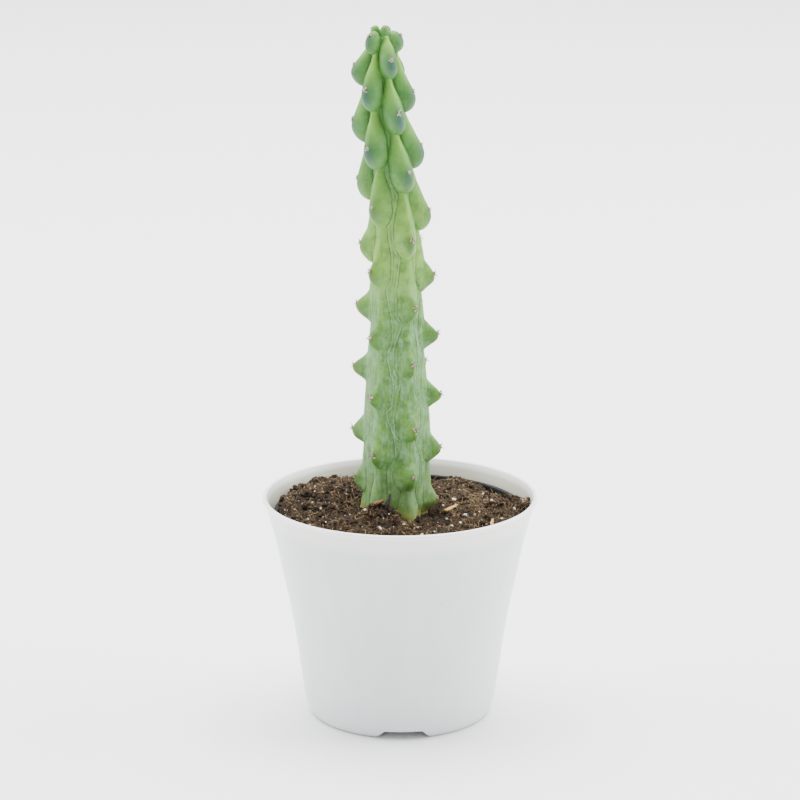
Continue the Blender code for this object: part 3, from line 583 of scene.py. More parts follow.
def lobe(side, height, areoles, index):
    """One tubercle at the stem's points: its surface, how far out of it a point is, and colour shares."""
    areole = areoles[index]
    rise, fall = lobe_gaps(areoles, index)
    below = areole - height
    bare = areole < BARE_BELOW
    peak = 0.0 if bare else float(between(TIPS_BELOW_AREOLES, freshness(areole)))
    furrow = read_outline(FURROW_OUTLINE, height)
    neck = read_outline(AXIL_OUTLINE, areole + rise)
    tip = float(read_outline(TIP_OUTLINE, areole))
    old = 1.0 - smooth((areole - KNOB_START) / (KNOB_END - KNOB_START))
    broad = tip if bare else tip - (tip - neck) * KNOB_SHARE * old
    grown = np.clip((below + rise) / (rise + peak), 0.0, 1.4)
    crest = neck + (broad - neck) * rounded(grown, CORNER_ROUNDING / (rise + peak))
    width = lobe_width(below, rise, height)
    across = side / width
    sunk = np.clip((below - peak) / (fall - peak), 0.0, 2.0)
    swell, downwards = swelling(across, sunk, freshness(height))
    reach = furrow + (crest - furrow) * swell
    sideways = np.radians(side) * tip
    if not bare:
        along = np.where(below < peak, (below - peak) / KNOB_ABOVE, (below - peak) / KNOB_BELOW)
        reach = reach + (tip - broad) * knob_height(np.hypot(sideways / KNOB_SIDE, along))
    hidden = below < -(rise + fall)
    spread = np.sqrt(across ** 2 + sunk ** 2)
    half = np.where(below < peak, np.radians(width) * furrow,
                    np.minimum(np.radians(width) * furrow, fall * 1.2))
    distance = np.where(hidden, 9.0, (spread - 1.0) * half / MM)
    reach = np.where(hidden | (spread >= 1.0), 0.0, reach)
    necked = np.exp(-((grown / 0.6) ** 2)) * np.exp(-((side / (width * 0.7)) ** 2)) * (below < 0)
    spot = 0.0 * side
    tuft = 0.0 * side
    if not bare:
        # The spot share marks where the skin gets painted shade under the areole.
        spot = np.exp(-(((below - 3.2 * MM) / (3.4 * MM)) ** 2) - (sideways / (2.5 * MM)) ** 2)
        # The tuft share is the patch around and below the areole: painted shade on fresh tubercles, and greener
        # skin with less bloom on old ones.
        tuft = np.exp(-(((below - 1.2 * MM) / (3.9 * MM)) ** 2) - (sideways / (2.8 * MM)) ** 2)
    return reach, distance, downwards, necked, spot, tuft


def stem_field(azimuth, height):
    """Radius of the stem at points by azimuth and height, and the shares that its colours follow."""
    radius = read_outline(FURROW_OUTLINE, height) + 0.0 * azimuth
    rim = np.full(radius.shape, 9.0)
    down = np.zeros(radius.shape)
    neck = np.zeros(radius.shape)
    spot = np.zeros(radius.shape)
    knob = np.zeros(radius.shape)
    for rib in RIBS:
        areoles = rib[1]
        side = np.abs((azimuth - rib_line(rib, height) + 180.0) % 360.0 - 180.0)
        for index, areole in enumerate(areoles):
            if areole > YOUNG_ABOVE:
                continue
            reach, distance, downwards, necked, spotted, tufted = lobe(side, height, areoles, index)
            neck = np.where(reach > radius, necked, neck)
            radius = np.maximum(radius, reach)
            down = np.where(distance < rim, downwards, down)
            rim = np.minimum(rim, distance)
            spot = np.maximum(spot, spotted)
            knob = np.maximum(knob, tufted)
    old = 1.0 - freshness(height)
    cut = np.exp(-((rim / (GROOVE_WIDTH / MM)) ** 2)) * (0.25 + 0.75 * old) * (1.0 - 0.75 * down * old)
    radius = radius - GROOVE_DEPTH * cut
    return radius, {"rim": rim, "down": down, "neck": neck, "spot": spot, "knob": knob}


def row_steps():
    """Rows of the stem's mesh over one pitch, closer at the creases under the tubercles of both phases."""
    rows = [0.0]
    while rows[-1] < 1.0:
        phase = (rows[-1] - CREASE_PHASE) % 0.5
        near = min(phase, 0.5 - phase) < FINE_ROW_SHARE
        rows.append(rows[-1] + (FINE_ROW_STEP if near else ROW_STEP))
    scale = 1.0 / rows[-1]
    return [row * scale for row in rows[:-1]]


def row_heights(areoles, first_pitch, pitches):
    """Height of each row of the mesh along one rib, so that rows fall on its areoles and creases."""
    known = first_pitch + np.arange(len(areoles))
    heights = np.array(areoles)
    below = heights[-1] - (pitches - known[-1]) * FOOT_PITCH
    above = heights[0] + (known[0] - pitches) * (heights[0] - heights[1])
    inner = np.interp(pitches, known, heights)
    return np.where(pitches > known[-1], below, np.where(pitches < known[0], above, inner))


def rib_edge(areoles, heights):
    """Half width of a rib in degrees at each height, from its neck and the lobe that it is in."""
    edge = between(NECK_HALF_ANGLES, freshness(heights))
    for index, areole in enumerate(areoles):
        rise, fall = lobe_gaps(areoles, index)
        below = areole - heights
        width = lobe_width(below, rise, heights)
        narrow = between(NECK_HALF_ANGLES, freshness(heights))
        ease = smooth(1.0 - np.clip(below / fall, 0.0, 1.0))
        edge = np.where((below >= -rise) & (below < fall), narrow + (width - narrow) * ease, edge)
    return edge


def stem_grid():
    """Azimuth and height of every point of the stem's mesh; its columns follow the ribs' edges."""
    pitches = np.array([turn + share for turn in range(-1, 9) for share in row_steps()])
    pitches = pitches[pitches >= FIRST_ROW]
    azimuths = []
    heights = []
    order = sorted(RIBS, key=lambda rib: rib[0])
    for index, rib in enumerate(order):
        areoles = rib[1]
        following = order[(index + 1) % len(order)]
        next_areoles = following[1]
        here = row_heights(areoles, -0.5 if areoles[0] > YOUNG_ABOVE else 0.0, pitches)
        there = row_heights(next_areoles, -0.5 if next_areoles[0] > YOUNG_ABOVE else 0.0, pitches)
        start = rib_line(rib, here)
        gap = (rib_line(following, there) - start) % 360.0
        near_edge = rib_edge(areoles, here)
        far_edge = rib_edge(next_areoles, there)
        fit = np.minimum(1.0, gap * 0.96 / (near_edge + far_edge))
        near_edge = near_edge * fit
        far_edge = far_edge * fit
        middle = (near_edge + gap - far_edge) / 2
        sides = [near_edge * share for share in INSIDE_COLUMNS]
        sides += [near_edge + (middle - near_edge) * share for share in STRIP_COLUMNS]
        sides.append(middle)
        sides += [gap - far_edge - (gap - far_edge - middle) * share for share in STRIP_COLUMNS[::-1]]
        sides += [gap - far_edge * share for share in INSIDE_COLUMNS[:0:-1]]
        for side in sides:
            share = smooth(side / gap)
            azimuths.append(start + side)
            heights.append(here + (there - here) * share)
    azimuth = np.array(azimuths).T
    height = np.array(heights).T
    keep = height.max(axis=1) > STEM_BOTTOM - 0.001
    return azimuth[keep], np.maximum(height[keep], STEM_BOTTOM)


def stem_mesh(material):
    """The fine stem, open only where it ends inside the soil, where a fan closes it."""
    azimuth, height = stem_grid()
    radius, shares = stem_field(azimuth, height)
    turn = np.radians(azimuth)
    wobble = np.array([
        noise.noise(Vector((math.sin(a) * 2.2, math.cos(a) * 2.2, z * 160.0)))
        for a, z in zip(turn.ravel(), height.ravel())]).reshape(radius.shape)
    radius = radius * (1.0 + 0.014 * wobble)
    from_dent = (azimuth - FOOT_DENT[0] + 180.0) % 360.0 - 180.0
    near_foot = smooth((FOOT_DENT_HEIGHTS[0] - height) / (FOOT_DENT_HEIGHTS[0] - FOOT_DENT_HEIGHTS[1]))
    radius = radius * (1.0 - FOOT_DENT[2] * np.exp(-((from_dent / FOOT_DENT[1]) ** 2)) * near_foot)
    strays = np.array([wander(a, z) for a, z in zip(azimuth.ravel(), height.ravel())])
    azimuth = azimuth + strays[:, 0].reshape(azimuth.shape)
    height = height + strays[:, 1].reshape(height.shape)
    rows = []
    for lift in (78.0, 62.0, 46.0, 30.0, 15.0):
        tilt = math.radians(lift)
        rows.append((radius[0] * math.cos(tilt), height[0] + (STEM_TOP - height[0]) * math.sin(tilt), azimuth[0]))
    rows += list(zip(radius, height, azimuth))
    count = azimuth.shape[1]
    points = []
    for radii, heights, turns in rows:
        around = np.radians(turns)
        x = radii * np.sin(around) + axis_offset(heights)
        points += list(zip(x, -radii * np.cos(around), heights))
    faces = ring_faces(len(rows), count)
    top = len(points)
    points.append((AXIS_TOP_OFFSET, 0.0, STEM_TOP))
    points.append((AXIS_BASE_OFFSET, 0.0, STEM_BOTTOM))
    last = (len(rows) - 1) * count
    for index in range(count):
        after = (index + 1) % count
        faces.append((index, after, top))
        faces.append((last + after, last + index, top + 1))
    mesh = mesh_from("stem", points, faces)
    lead = len(rows) - len(radius)
    for name, values in shares.items():
        column = np.concatenate([np.repeat(values[:1], lead, axis=0), values]).ravel()
        column = np.append(column, [values[0].mean(), values[-1].mean()])
        layer = mesh.attributes.new(name, "FLOAT", "POINT")
        layer.data.foreach_set("value", column.astype(np.float32))
    return new_object("cactus_stem", mesh, material)


def stem_point(azimuth, distance, height):
    """A point by its azimuth and distance from the stem's own axis."""
    return polar(azimuth, distance, height) + Vector((float(axis_offset(height)), 0.0, 0.0))


def wander(azimuth, height):
    """How far the skin's pattern strays at a point: degrees sideways and metres up."""
    around = math.radians(azimuth)
    place = Vector((math.sin(around) * 2.0, math.cos(around) * 2.0, height * 140.0))
    wide = noise.noise_vector(place)
    fine = noise.noise_vector(place * 2.6 + Vector((3.0, 8.0, 5.0)))
    calm = 1.0 - 0.7 * float(freshness(height))
    return (WANDER_DEGREES * (wide.x + 0.5 * fine.x) * calm, WANDER_HEIGHT * (wide.y + 0.5 * fine.y) * calm)


def young_mesh(values, name, material):
    """A young tubercle: an egg that is fuller below, with the shares that the skin's colours follow."""
    azimuth, distance, height, outwards, sideways, up = values
    shape = bmesh.new()
    bmesh.ops.create_icosphere(shape, subdivisions=5, radius=1.0)
    bud = up < 0.004
    layers = {key: shape.verts.layers.float.new(key) for key in ("rim", "down", "neck", "spot", "knob")}
    lift = math.radians(YOUNG_AREOLE_LIFT)
    areole = Vector((0.0, -math.cos(lift), math.sin(lift)))
    turn = Matrix.Rotation(math.radians(azimuth), 3, "Z")
    centre = stem_point(azimuth, distance, height)
    for vert in shape.verts:
        place = vert.co.copy()
        from_areole = place - (areole + Vector((0.0, 0.0, -0.42))).normalized()
        # The spot share marks where the skin gets painted shade under the areole.
        vert[layers["spot"]] = 0.0 if bud else math.exp(-(from_areole.length / 0.62) ** 2)
        # The rim share nears the outline on the side against the stem, where the skin gets painted shade.
        vert[layers["rim"]] = -0.2 - 2.2 * min(1.0, max(0.0, 0.4 - place.y))
        vert[layers["neck"]] = 0.25 * max(0.0, place.z)
        fuller = 1.0 - 0.10 * place.z
        place = Vector((place.x * sideways * fuller, place.y * outwards * fuller, place.z * up))
        vert.co = turn @ place + centre
    mesh = bpy.data.meshes.new(name)
    shape.to_mesh(mesh)
    shape.free()
    return new_object(name, mesh, material)


def areole_places():
    """Place, outward direction and height of every areole."""
    places = []
    for rib in RIBS:
        for height in rib[1]:
            if BARE_BELOW < height < YOUNG_ABOVE:
                azimuth = float(rib_line(rib, np.array([height]))[0])
                radius, shares = stem_field(np.array([azimuth]), np.array([height]))
                aside, lift = wander(azimuth, height)
                azimuth += aside
                place = stem_point(azimuth, float(radius[0]), height + lift)
                places.append((place, polar(azimuth, 1.0, 0.15).normalized(), 1.0))
    lift = math.radians(YOUNG_AREOLE_LIFT)
    for azimuth, distance, height, outwards, sideways, up in YOUNG_TUBERCLES:
        place = stem_point(azimuth, distance + outwards * math.cos(lift), height + up * math.sin(lift))
        size = 0.55 if up < 0.004 else 0.8
        places.append((place, polar(azimuth, math.cos(lift), math.sin(lift)), size))
    return places


def round_grain(subdivisions):
    """Points and faces of a round grain."""
    shape = bmesh.new()
    bmesh.ops.create_icosphere(shape, subdivisions=subdivisions, radius=1.0)
    shape.verts.index_update()
    points = [vert.co.copy() for vert in shape.verts]
    faces = [tuple(vert.index for vert in face.verts) for face in shape.faces]
    shape.free()
    return points, faces


class Heap:
    """Many small solids in one mesh."""

    grains = {subdivisions: round_grain(subdivisions) for subdivisions in (1, 2)}

    def __init__(self):
        self.points = []
        self.faces = []

    def add(self, points, faces):
        """Add a solid."""
        start = len(self.points)
        self.points += points
        self.faces += [tuple(start + index for index in face) for face in faces]

    def rings(self, rings):
        """Add a closed solid from rings of points."""
        count = len(rings[0])
        last = (len(rings) - 1) * count
        faces = ring_faces(len(rings), count)
        faces += [tuple(range(count)), tuple(range(last, last + count))[::-1]]
        self.add([point for ring in rings for point in ring], faces)

    def grain(self, place, size, squash, draw, subdivisions=2, rough=0.22):
        """Add a lumpy round grain."""
        points, faces = self.grains[subdivisions]
        turn = Matrix.Rotation(draw.uniform(0, math.tau), 3, Vector((draw.random(), draw.random(), 1.0)))
        shift = Vector((draw.uniform(-50, 50), draw.uniform(-50, 50), draw.uniform(-50, 50)))
        flat = Vector((size, size, size * squash))
        made = []
        for point in points:
            lump = 1.0 + rough * 2.0 * noise.noise(point * 1.6 + shift)
            made.append(place + (turn @ (point * lump)) * flat)
        self.add(made, faces)

    def tube(self, points, radii, sides=4):
        """Add a thin tube through points."""
        rings = []
        for index, point in enumerate(points):
            ahead = points[min(index + 1, len(points) - 1)] - points[max(index - 1, 0)]
            ahead.normalize()
            helper = Vector((0, 0, 1)) if abs(ahead.z) < 0.9 else Vector((1, 0, 0))
            across = ahead.cross(helper).normalized()
            upward = across.cross(ahead)
            ring = []
            for corner in range(sides):
                around = math.tau * corner / sides
                ring.append(point + (across * math.cos(around) + upward * math.sin(around)) * radii[index])
            rings.append(ring)
        self.rings(rings)

    def flake(self, place, length, width, thickness, far_width, turn, lean, draw, stations=6, corners=8):
        """Add a rough flat splinter, centred on a place."""
        tilt = Matrix.Rotation(math.radians(-lean), 3, "Y")
        spin = Matrix.Rotation(math.radians(turn), 3, "Z")
        shift = Vector((draw.uniform(-9, 9), draw.uniform(-9, 9), draw.uniform(-9, 9)))
        bow = draw.uniform(-0.12, 0.12)
        rings = []
        for station in range(stations + 1):
            along = station / stations
            slim = 1.0 - (1.0 - far_width) * along ** 1.5
            slim *= 0.35 + 0.65 * min(1.0, 5.0 * along + 0.2, 4.0 * (1.0 - along) + 0.15) ** 0.5
            ring = []
            for corner in range(corners):
                around = math.tau * corner / corners
                flat = Vector((math.cos(around), math.sin(around)))
                square = 1.0 / max(abs(flat.x), abs(flat.y)) ** 0.7
                ragged = noise.noise(Vector((along * 3.0, flat.x * 1.3, flat.y * 1.3)) + shift)
                strand = noise.noise(Vector((along * 1.2, flat.x * 4.5, flat.y * 4.5)) - shift)
                end = along - 0.5 + 0.16 * strand * (2.0 * along - 1.0)
                body = Vector((
                    end * length,
                    flat.x * square * width / 2 * slim * (1.0 + 0.35 * ragged) + bow * length * (along - 0.5) ** 2,
                    flat.y * square * thickness / 2 * slim * (1.0 + 0.5 * strand) + 0.25 * thickness * ragged,
                ))
                ring.append(spin @ (tilt @ body) + place)
            rings.append(ring)
        self.rings(rings)

    def build(self, name, material):
        """Make the object."""
        shape = bmesh.new()
        shape.from_mesh(mesh_from(name, self.points, self.faces))
        return from_bmesh(name, shape, material)


def from_bmesh(name, shape, material, smooth_faces=True):
    """Turn a bmesh into an object."""
    bmesh.ops.recalc_face_normals(shape, faces=shape.faces[:])
    mesh = bpy.data.meshes.new(name)
    shape.to_mesh(mesh)
    shape.free()
    return new_object(name, mesh, material, smooth_faces)


def wool_and_spines(wool_material, spine_material):
    """A tuft of wool and a few short spines on every areole."""
    draw = random.Random(21)
    wool = Heap()
    spines = Heap()
    for place, outward, size in areole_places():
        sideways = outward.cross(Vector((0, 0, 1))).normalized()
        upwards = sideways.cross(outward).normalized()
        for _ in range(8):
            offset = sideways * draw.gauss(0, 0.00048) + upwards * draw.gauss(0, 0.00048)
            wool.grain(place + (offset + outward * 0.0001) * size, 0.00036 * size, 0.9, draw, 1, 0.3)
        for _ in range(14):
            around = draw.uniform(0, math.tau)
            spread = sideways * math.cos(around) + upwards * math.sin(around)
            root = place + spread * 0.00050 * size * draw.random()
            tip = root + (outward + spread * draw.uniform(0.2, 1.2)).normalized() * 0.00065 * size
            wool.tube([root, (root + tip) / 2 + spread * 0.00008, tip], [0.00008, 0.00006, 0.00002], 3)
        low = place.z < 0.205
        start = draw.uniform(0, math.tau)
        count = draw.choice((6, 7)) if low else draw.choice((5, 6))
        for number in range(count):
            around = start + math.tau * number / count + draw.uniform(-0.3, 0.3)
            spread = sideways * math.cos(around) + upwards * math.sin(around)
            lean = draw.uniform(0.8, 1.5)
            length = (draw.uniform(0.0010, 0.0022) if low else draw.uniform(0.0005, 0.0009)) * size
            direction = (outward * 0.8 + spread * lean + Vector((0, 0, 0.45 if low else 0.1))).normalized()
            root = place + spread * 0.0002
            tip = root + direction * length
            thick = draw.uniform(0.00010, 0.00015)
            spines.tube([root, (root + tip) / 2, tip], [thick, thick * 0.8, thick * 0.2], 5)
    return wool.build("areole_wool", wool_material), spines.build("cactus_spines", spine_material)


def ground_height(x, y):
    """Height of the soil's top: the CAD soil's mounds, hollows and heaps, with clods and crumbs on them."""
    place = Vector((x, y, 0.0))
    stem = Vector((AXIS_BASE_OFFSET, 0.0, 0.0))
    height = SOIL_LEVEL
    for azimuth, distance, rise, spread in SOIL_MOUNDS:
        away = (place - stem - polar(azimuth, distance, 0.0)).length
        height += rise * math.exp(-((away / spread) ** 2))
    lumps = noise.noise(place / 0.0075)
    crumbs = noise.noise(place / 0.0034 + Vector((7.0, 3.0, 1.0)))
    clods = noise.noise(place / 0.0016 + Vector((2.0, 9.0, 4.0)))
    fine = noise.noise(place / 0.0007 + Vector((5.0, 1.0, 8.0)))
    relief = 0.0016 * (lumps + 0.6 * crumbs) + 0.0013 * (abs(clods) - 0.2) + 0.0006 * fine
    return height + relief


def soil_ground(material):
    """The soil's body with a fine crumbly top."""
    sectors = 540
    rings = 150
    stem = Vector((AXIS_BASE_OFFSET, 0.0, 0.0))
    azimuths = [360.0 * index / sectors for index in range(sectors)]
    points = []
    for ring in range(rings + 1):
        share = (ring / rings) ** 0.9
        for azimuth in azimuths:
            place = (stem + polar(azimuth, 0.0085, 0.0)).lerp(polar(azimuth, SOIL_EDGE, 0.0), share)
            points.append((place.x, place.y, ground_height(place.x, place.y)))
    for height, radius in ((0.0780, 0.0474), (0.0600, 0.0441), (0.0300, 0.0380), (0.0069, 0.0329)):
        for azimuth in azimuths:
            points.append(tuple(polar(azimuth, radius, height)))
    faces = ring_faces(rings + 5, sectors)
    bottom = len(points)
    points.append((0.0, 0.0, 0.0069))
    points.append((AXIS_BASE_OFFSET, 0.0, 0.0815))
    last = (rings + 4) * sectors
    for index in range(sectors):
        after = (index + 1) % sectors
        faces.append((last + after, last + index, bottom))
        faces.append((index, after, bottom + 1))
    return new_object("soil_ground", mesh_from("soil_ground", points, faces), material)


def free_place(draw, inner, outer):
    """A random place on the soil that is clear of the stem."""
    while True:
        azimuth = draw.uniform(-180.0, 180.0)
        distance = math.sqrt(draw.uniform(inner ** 2, outer ** 2))
        place = polar(azimuth, distance, 0.0)
        from_stem = (place - Vector((AXIS_BASE_OFFSET, 0.0, 0.0))).length
        if from_stem > inner:
            return Vector((place.x, place.y, ground_height(place.x, place.y)))


def pile_place(draw):
    """A random place in the small pile that lies over the black rim at the right."""
    distance = draw.uniform(0.0468, 0.0517)
    place = polar(draw.gauss(91.0, 3.2), distance, 0.0)
    top = 0.0868 + 0.25 * (distance - 0.0468)
    return Vector((place.x, place.y, draw.uniform(0.0842, top)))


def soil_crumbs(name, count, piled, sizes, seed, material):
    """Loose crumbs over the whole soil and in the pile at its edge."""
    draw = random.Random(seed)
    heap = Heap()
    for number in range(count + piled):
        size = between(sizes, draw.random() ** 3.0)
        if number < count:
            place = free_place(draw, 0.0138, 0.0480)
        else:
            place = pile_place(draw)
            size = min(size, 0.0006)
        heap.grain(place + Vector((0, 0, size * 0.15)), size, draw.uniform(0.5, 1.0), draw,
                   2 if size > 0.00045 else 1, 0.5)
    return heap.build(name, material)


def perlite_grains(material):
    """White perlite grains, partly sunk."""
    draw = random.Random(31)
    heap = Heap()
    for x, y, size in LARGE_GRAINS:
        place = Vector((x, y, ground_height(x, y) + size * 0.3))
        heap.grain(place, size, 0.8, draw, 2, 0.40)
    for _ in range(120):
        place = free_place(draw, 0.0155, 0.0470)
        size = between((0.00018, 0.00062), draw.random() ** 2.5)
        heap.grain(place + Vector((0, 0, size * 0.35)), size, 0.8, draw, 2, 0.40)
    for _ in range(7):
        heap.grain(pile_place(draw), draw.uniform(0.0003, 0.0006), 0.8, draw, 2, 0.40)
    return heap.build("perlite_grains", material)


def fibre_path(place, length, draw, raised):
    """A bent path that lies over the soil, maybe with an end in the air."""
    heading = draw.uniform(0, math.tau)
    bend = draw.gauss(0, 1.3)
    lift = draw.uniform(0.0, 0.0006)
    end_lift = draw.uniform(0.0004, 0.0022) if draw.random() < raised else 0.0
    points = []
    for step in range(9):
        share = step / 8
        turn = heading + bend * (share - 0.5)
        flat = Vector((place.x, place.y, 0)) + Vector((math.cos(turn), math.sin(turn), 0)) * length * (share - 0.5)
        if flat.length > 0.0478:
            flat *= 0.0478 / flat.length
        rise = lift + end_lift * share ** 2 + 0.0003 * math.sin(share * 9.0 + bend)
        points.append(Vector((flat.x, flat.y, ground_height(flat.x, flat.y) + rise)))
    return points


def root_fibres(name, count, tangled, thickness, seed, material):
    """Thin bent fibres all over the soil, with a tangle of them at the back right."""
    draw = random.Random(seed)
    heap = Heap()
    for number in range(count + tangled):
        if number < count:
            place = free_place(draw, 0.0150, 0.0465)
        else:
            spot = polar(draw.gauss(106.0, 12.0), draw.gauss(0.0320, 0.0045), 0.0)
            place = Vector((spot.x, spot.y, 0.0))
        length = between((0.0015, 0.0085), draw.random() ** 1.8)
        points = fibre_path(place, length, draw, 0.22)
        thick = between(thickness, draw.random() ** 1.7)
        heap.tube(points, [thick * (1.0 - 0.6 * abs(step / 8 - 0.4)) for step in range(9)], 4)
    for _ in range(tangled // 3):
        place = pile_place(draw)
        end = pile_place(draw) + Vector((0, 0, draw.uniform(0.0, 0.0008)))
        middle = (place + end) / 2 + Vector((0, 0, 0.0003))
        heap.tube([place, middle, end], [thickness[0] * 1.4] * 3, 4)
    return heap.build(name, material)


def bark_bits(name, count, sizes, seed, material):
    """Small flat bits of bark and wood."""
    draw = random.Random(seed)
    heap = Heap()
    for _ in range(count):
        place = free_place(draw, 0.0150, 0.0468)
        length = between(sizes, draw.random() ** 2.0)
        heap.flake(place + Vector((0, 0, 0.0002)), length, length * draw.uniform(0.25, 0.55),
                   draw.uniform(0.0003, 0.0006), 0.6, draw.uniform(0, 360), draw.gauss(0, 22), draw)
    return heap.build(name, material)


# Loose pieces: turn, lean, length, width, thickness, width at the far end, as in the CAD
LOOSE_PIECES = {
    "bark_shard": (35.0, 70.0, 0.0060, 0.0018, 0.0015, 0.35, 3),
    "bark_chip": (0.0, 24.0, 0.0038, 0.0026, 0.0013, 0.6, 4),
    "wood_sliver": (51.8, 4.0, 0.0076, 0.0017, 0.0012, 0.7, 5),
    "pale_stick": (84.0, 8.0, 0.0056, 0.0012, 0.0011, 0.7, 6),
}


def loose_piece(node, material):
    """A splinter with ragged fibres, where the CAD's piece lies."""
    turn, lean, length, width, thickness, far_width, seed = LOOSE_PIECES[node]
    low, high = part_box(node)
    heap = Heap()
    heap.flake((low + high) / 2, length, width, thickness, far_width, turn, lean, random.Random(seed), 26, 20)
    return heap.build(node + "_fine", material)


def lathe(outline, steps):
    """A closed mesh from an outline of (radius, height) points, from the axis round to the axis."""
    points = []
    rings = []
    for radius, height in outline:
        if radius == 0.0:
            rings.append([len(points)])
            points.append((0.0, 0.0, height))
            continue
        rings.append(list(range(len(points), len(points) + steps)))
        for index in range(steps):
            points.append(tuple(polar(360.0 * index / steps, radius, height)))
    faces = []
    for ring, following in zip(rings, rings[1:]):
        for index in range(steps):
            after = (index + 1) % steps
            if len(ring) == 1:
                faces.append((ring[0], following[after], following[index]))
            elif len(following) == 1:
                faces.append((ring[index], ring[after], following[0]))
            else:
                faces.append((ring[index], ring[after], following[after], following[index]))
    return points, faces


def arc(centre, radius, start, end, steps):
    """Points on an arc in an outline, by angles in degrees from the outward direction up."""
    return [
        (centre[0] + radius * math.cos(math.radians(start + (end - start) * step / steps)),
         centre[1] + radius * math.sin(math.radians(start + (end - start) * step / steps)))
        for step in range(steps + 1)]


def curve_points(outline, step):
    """Points on a smooth curve through (height, radius) points, a step of height apart."""
    heights = np.array([height for height, radius in outline][::-1])
    radii = np.array([radius for height, radius in outline][::-1])
    slopes = np.gradient(radii, heights)
    places = np.arange(heights[0], heights[-1], step)
    index = np.clip(np.searchsorted(heights, places, side="right") - 1, 0, len(heights) - 2)
    span = heights[index + 1] - heights[index]
    share = (places - heights[index]) / span
    radius = ((2 * share ** 3 - 3 * share ** 2 + 1) * radii[index]
              + (share ** 3 - 2 * share ** 2 + share) * span * slopes[index]
              + (3 * share ** 2 - 2 * share ** 3) * radii[index + 1]
              + (share ** 3 - share ** 2) * span * slopes[index + 1])
    return list(zip(radius, places))


def bore(thing, cutters):
    """Cut solids out of an object, apply the cut and remove the cutters."""
    for cutter in cutters:
        boolean = thing.modifiers.new("cut", "BOOLEAN")
        boolean.operation = "DIFFERENCE"
        boolean.object = cutter
        boolean.solver = "EXACT"
    view = bpy.context.evaluated_depsgraph_get()
    mesh = bpy.data.meshes.new_from_object(thing.evaluated_get(view))
    thing.modifiers.clear()
    thing.data = mesh
    for cutter in cutters:
        bpy.data.objects.remove(cutter, do_unlink=True)


def drain_cutters(low, high, start, material):
    """Upright round cutters for four drain holes."""
    made = []
    for index in range(4):
        shape = bmesh.new()
        bmesh.ops.create_cone(shape, cap_ends=True, segments=32, radius1=0.004, radius2=0.004, depth=high - low)
        place = polar(start + 90.0 * index, 0.020, (low + high) / 2)
        bmesh.ops.translate(shape, vec=place, verts=shape.verts)
        made.append(from_bmesh("cutter", shape, material, False))
    return made


def notch_cutters(material):
    """Blocks with sloping ends for the notches in the foot ring."""
    made = []
    for index in range(3):
        shape = bmesh.new()
        bmesh.ops.create_cube(shape, size=1.0)
        for vert in shape.verts:
            upper = vert.co.z > 0
            vert.co.x = math.copysign(0.0075 if upper else 0.0117, vert.co.x)
            vert.co.y = -0.042 if vert.co.y < 0 else -0.028
            vert.co.z = 0.0035 if upper else -0.001
        turn = Matrix.Rotation(math.radians(2.0 + 120.0 * index), 3, "Z")
        bmesh.ops.rotate(shape, cent=(0, 0, 0), matrix=turn, verts=shape.verts)
        made.append(from_bmesh("cutter", shape, material, False))
    return made


def finish_pot(name, outline, cutters, material):
    """Turn an outline, cut it and shade it with its sharp edges kept."""
    points, faces = lathe(outline, POT_STEPS)
    pot = new_object(name, mesh_from(name, points, faces), material)
    shape = bmesh.new()
    shape.from_mesh(pot.data)
    bmesh.ops.recalc_face_normals(shape, faces=shape.faces[:])
    shape.to_mesh(pot.data)
    shape.free()
    bore(pot, cutters)
    pot.data.shade_smooth()
    pot.data.set_sharp_from_angle(angle=math.radians(38.0))
    return pot


def white_pot(material):
    """The white pot with a rounded lip, a smooth wall, foot notches and drain holes."""
    wall = curve_points(POT_WALL_OUTLINE, 0.0018)
    lip = 0.0009
    rim = POT_RIM_RADIUS
    outline = [(0.0, 0.0037), (0.0332, 0.0037), (0.0332, 0.0003), (0.0335, 0.0), (0.0348, 0.0), (0.0353, 0.0003)]
    outline += wall
    outline += [(0.05312, 0.0878), (0.0542, 0.08795)]
    outline += arc((rim - lip, POT_HEIGHT - lip), lip, -20.0, 170.0, 12)
    inside = [(radius - POT_WALL, height) for radius, height in wall if 0.0065 < height < 0.0874]
    outline += inside[::-1]
    outline += [(inside[0][0] - 0.0006, 0.0054), (inside[0][0] - 0.0012, 0.0052), (0.0, 0.0052)]
    cutters = drain_cutters(0.0027, 0.0062, 45.0, material) + notch_cutters(material)
    pot = finish_pot("white_pot", outline, cutters, material)
    # Marks the inner wall, where the white plastic gets painted shade.
    layer = pot.data.attributes.new("inside", "FLOAT", "POINT")
    for vert, mark in zip(pot.data.vertices, layer.data):
        middle = read_outline(POT_WALL_OUTLINE[::-1], vert.co.z) - POT_WALL / 2
        mark.value = float(vert.co.z > 0.0045 and math.hypot(vert.co.x, vert.co.y) < middle)
    return pot


def black_pot(material):
    """The black nursery pot, of which mostly the rim shows."""
    low = 0.0055
    outline = [(0.0, low), (0.0332, low), (0.0340, low + 0.0012), (0.0493, 0.0816), (0.0500, 0.0816)]
    outline += arc((0.0498, INNER_RIM_TOP - 0.0004), 0.0004, 0.0, 90.0, 4)
    outline += arc((0.0488, INNER_RIM_TOP - 0.0004), 0.0004, 90.0, 180.0, 4)
    outline += [(0.0480, 0.0795), (0.0329, low + 0.001), (0.0, low + 0.001)]
    cutters = drain_cutters(low - 0.001, low + 0.002, 0.0, material)
    return finish_pot("black_pot", outline, cutters, material)


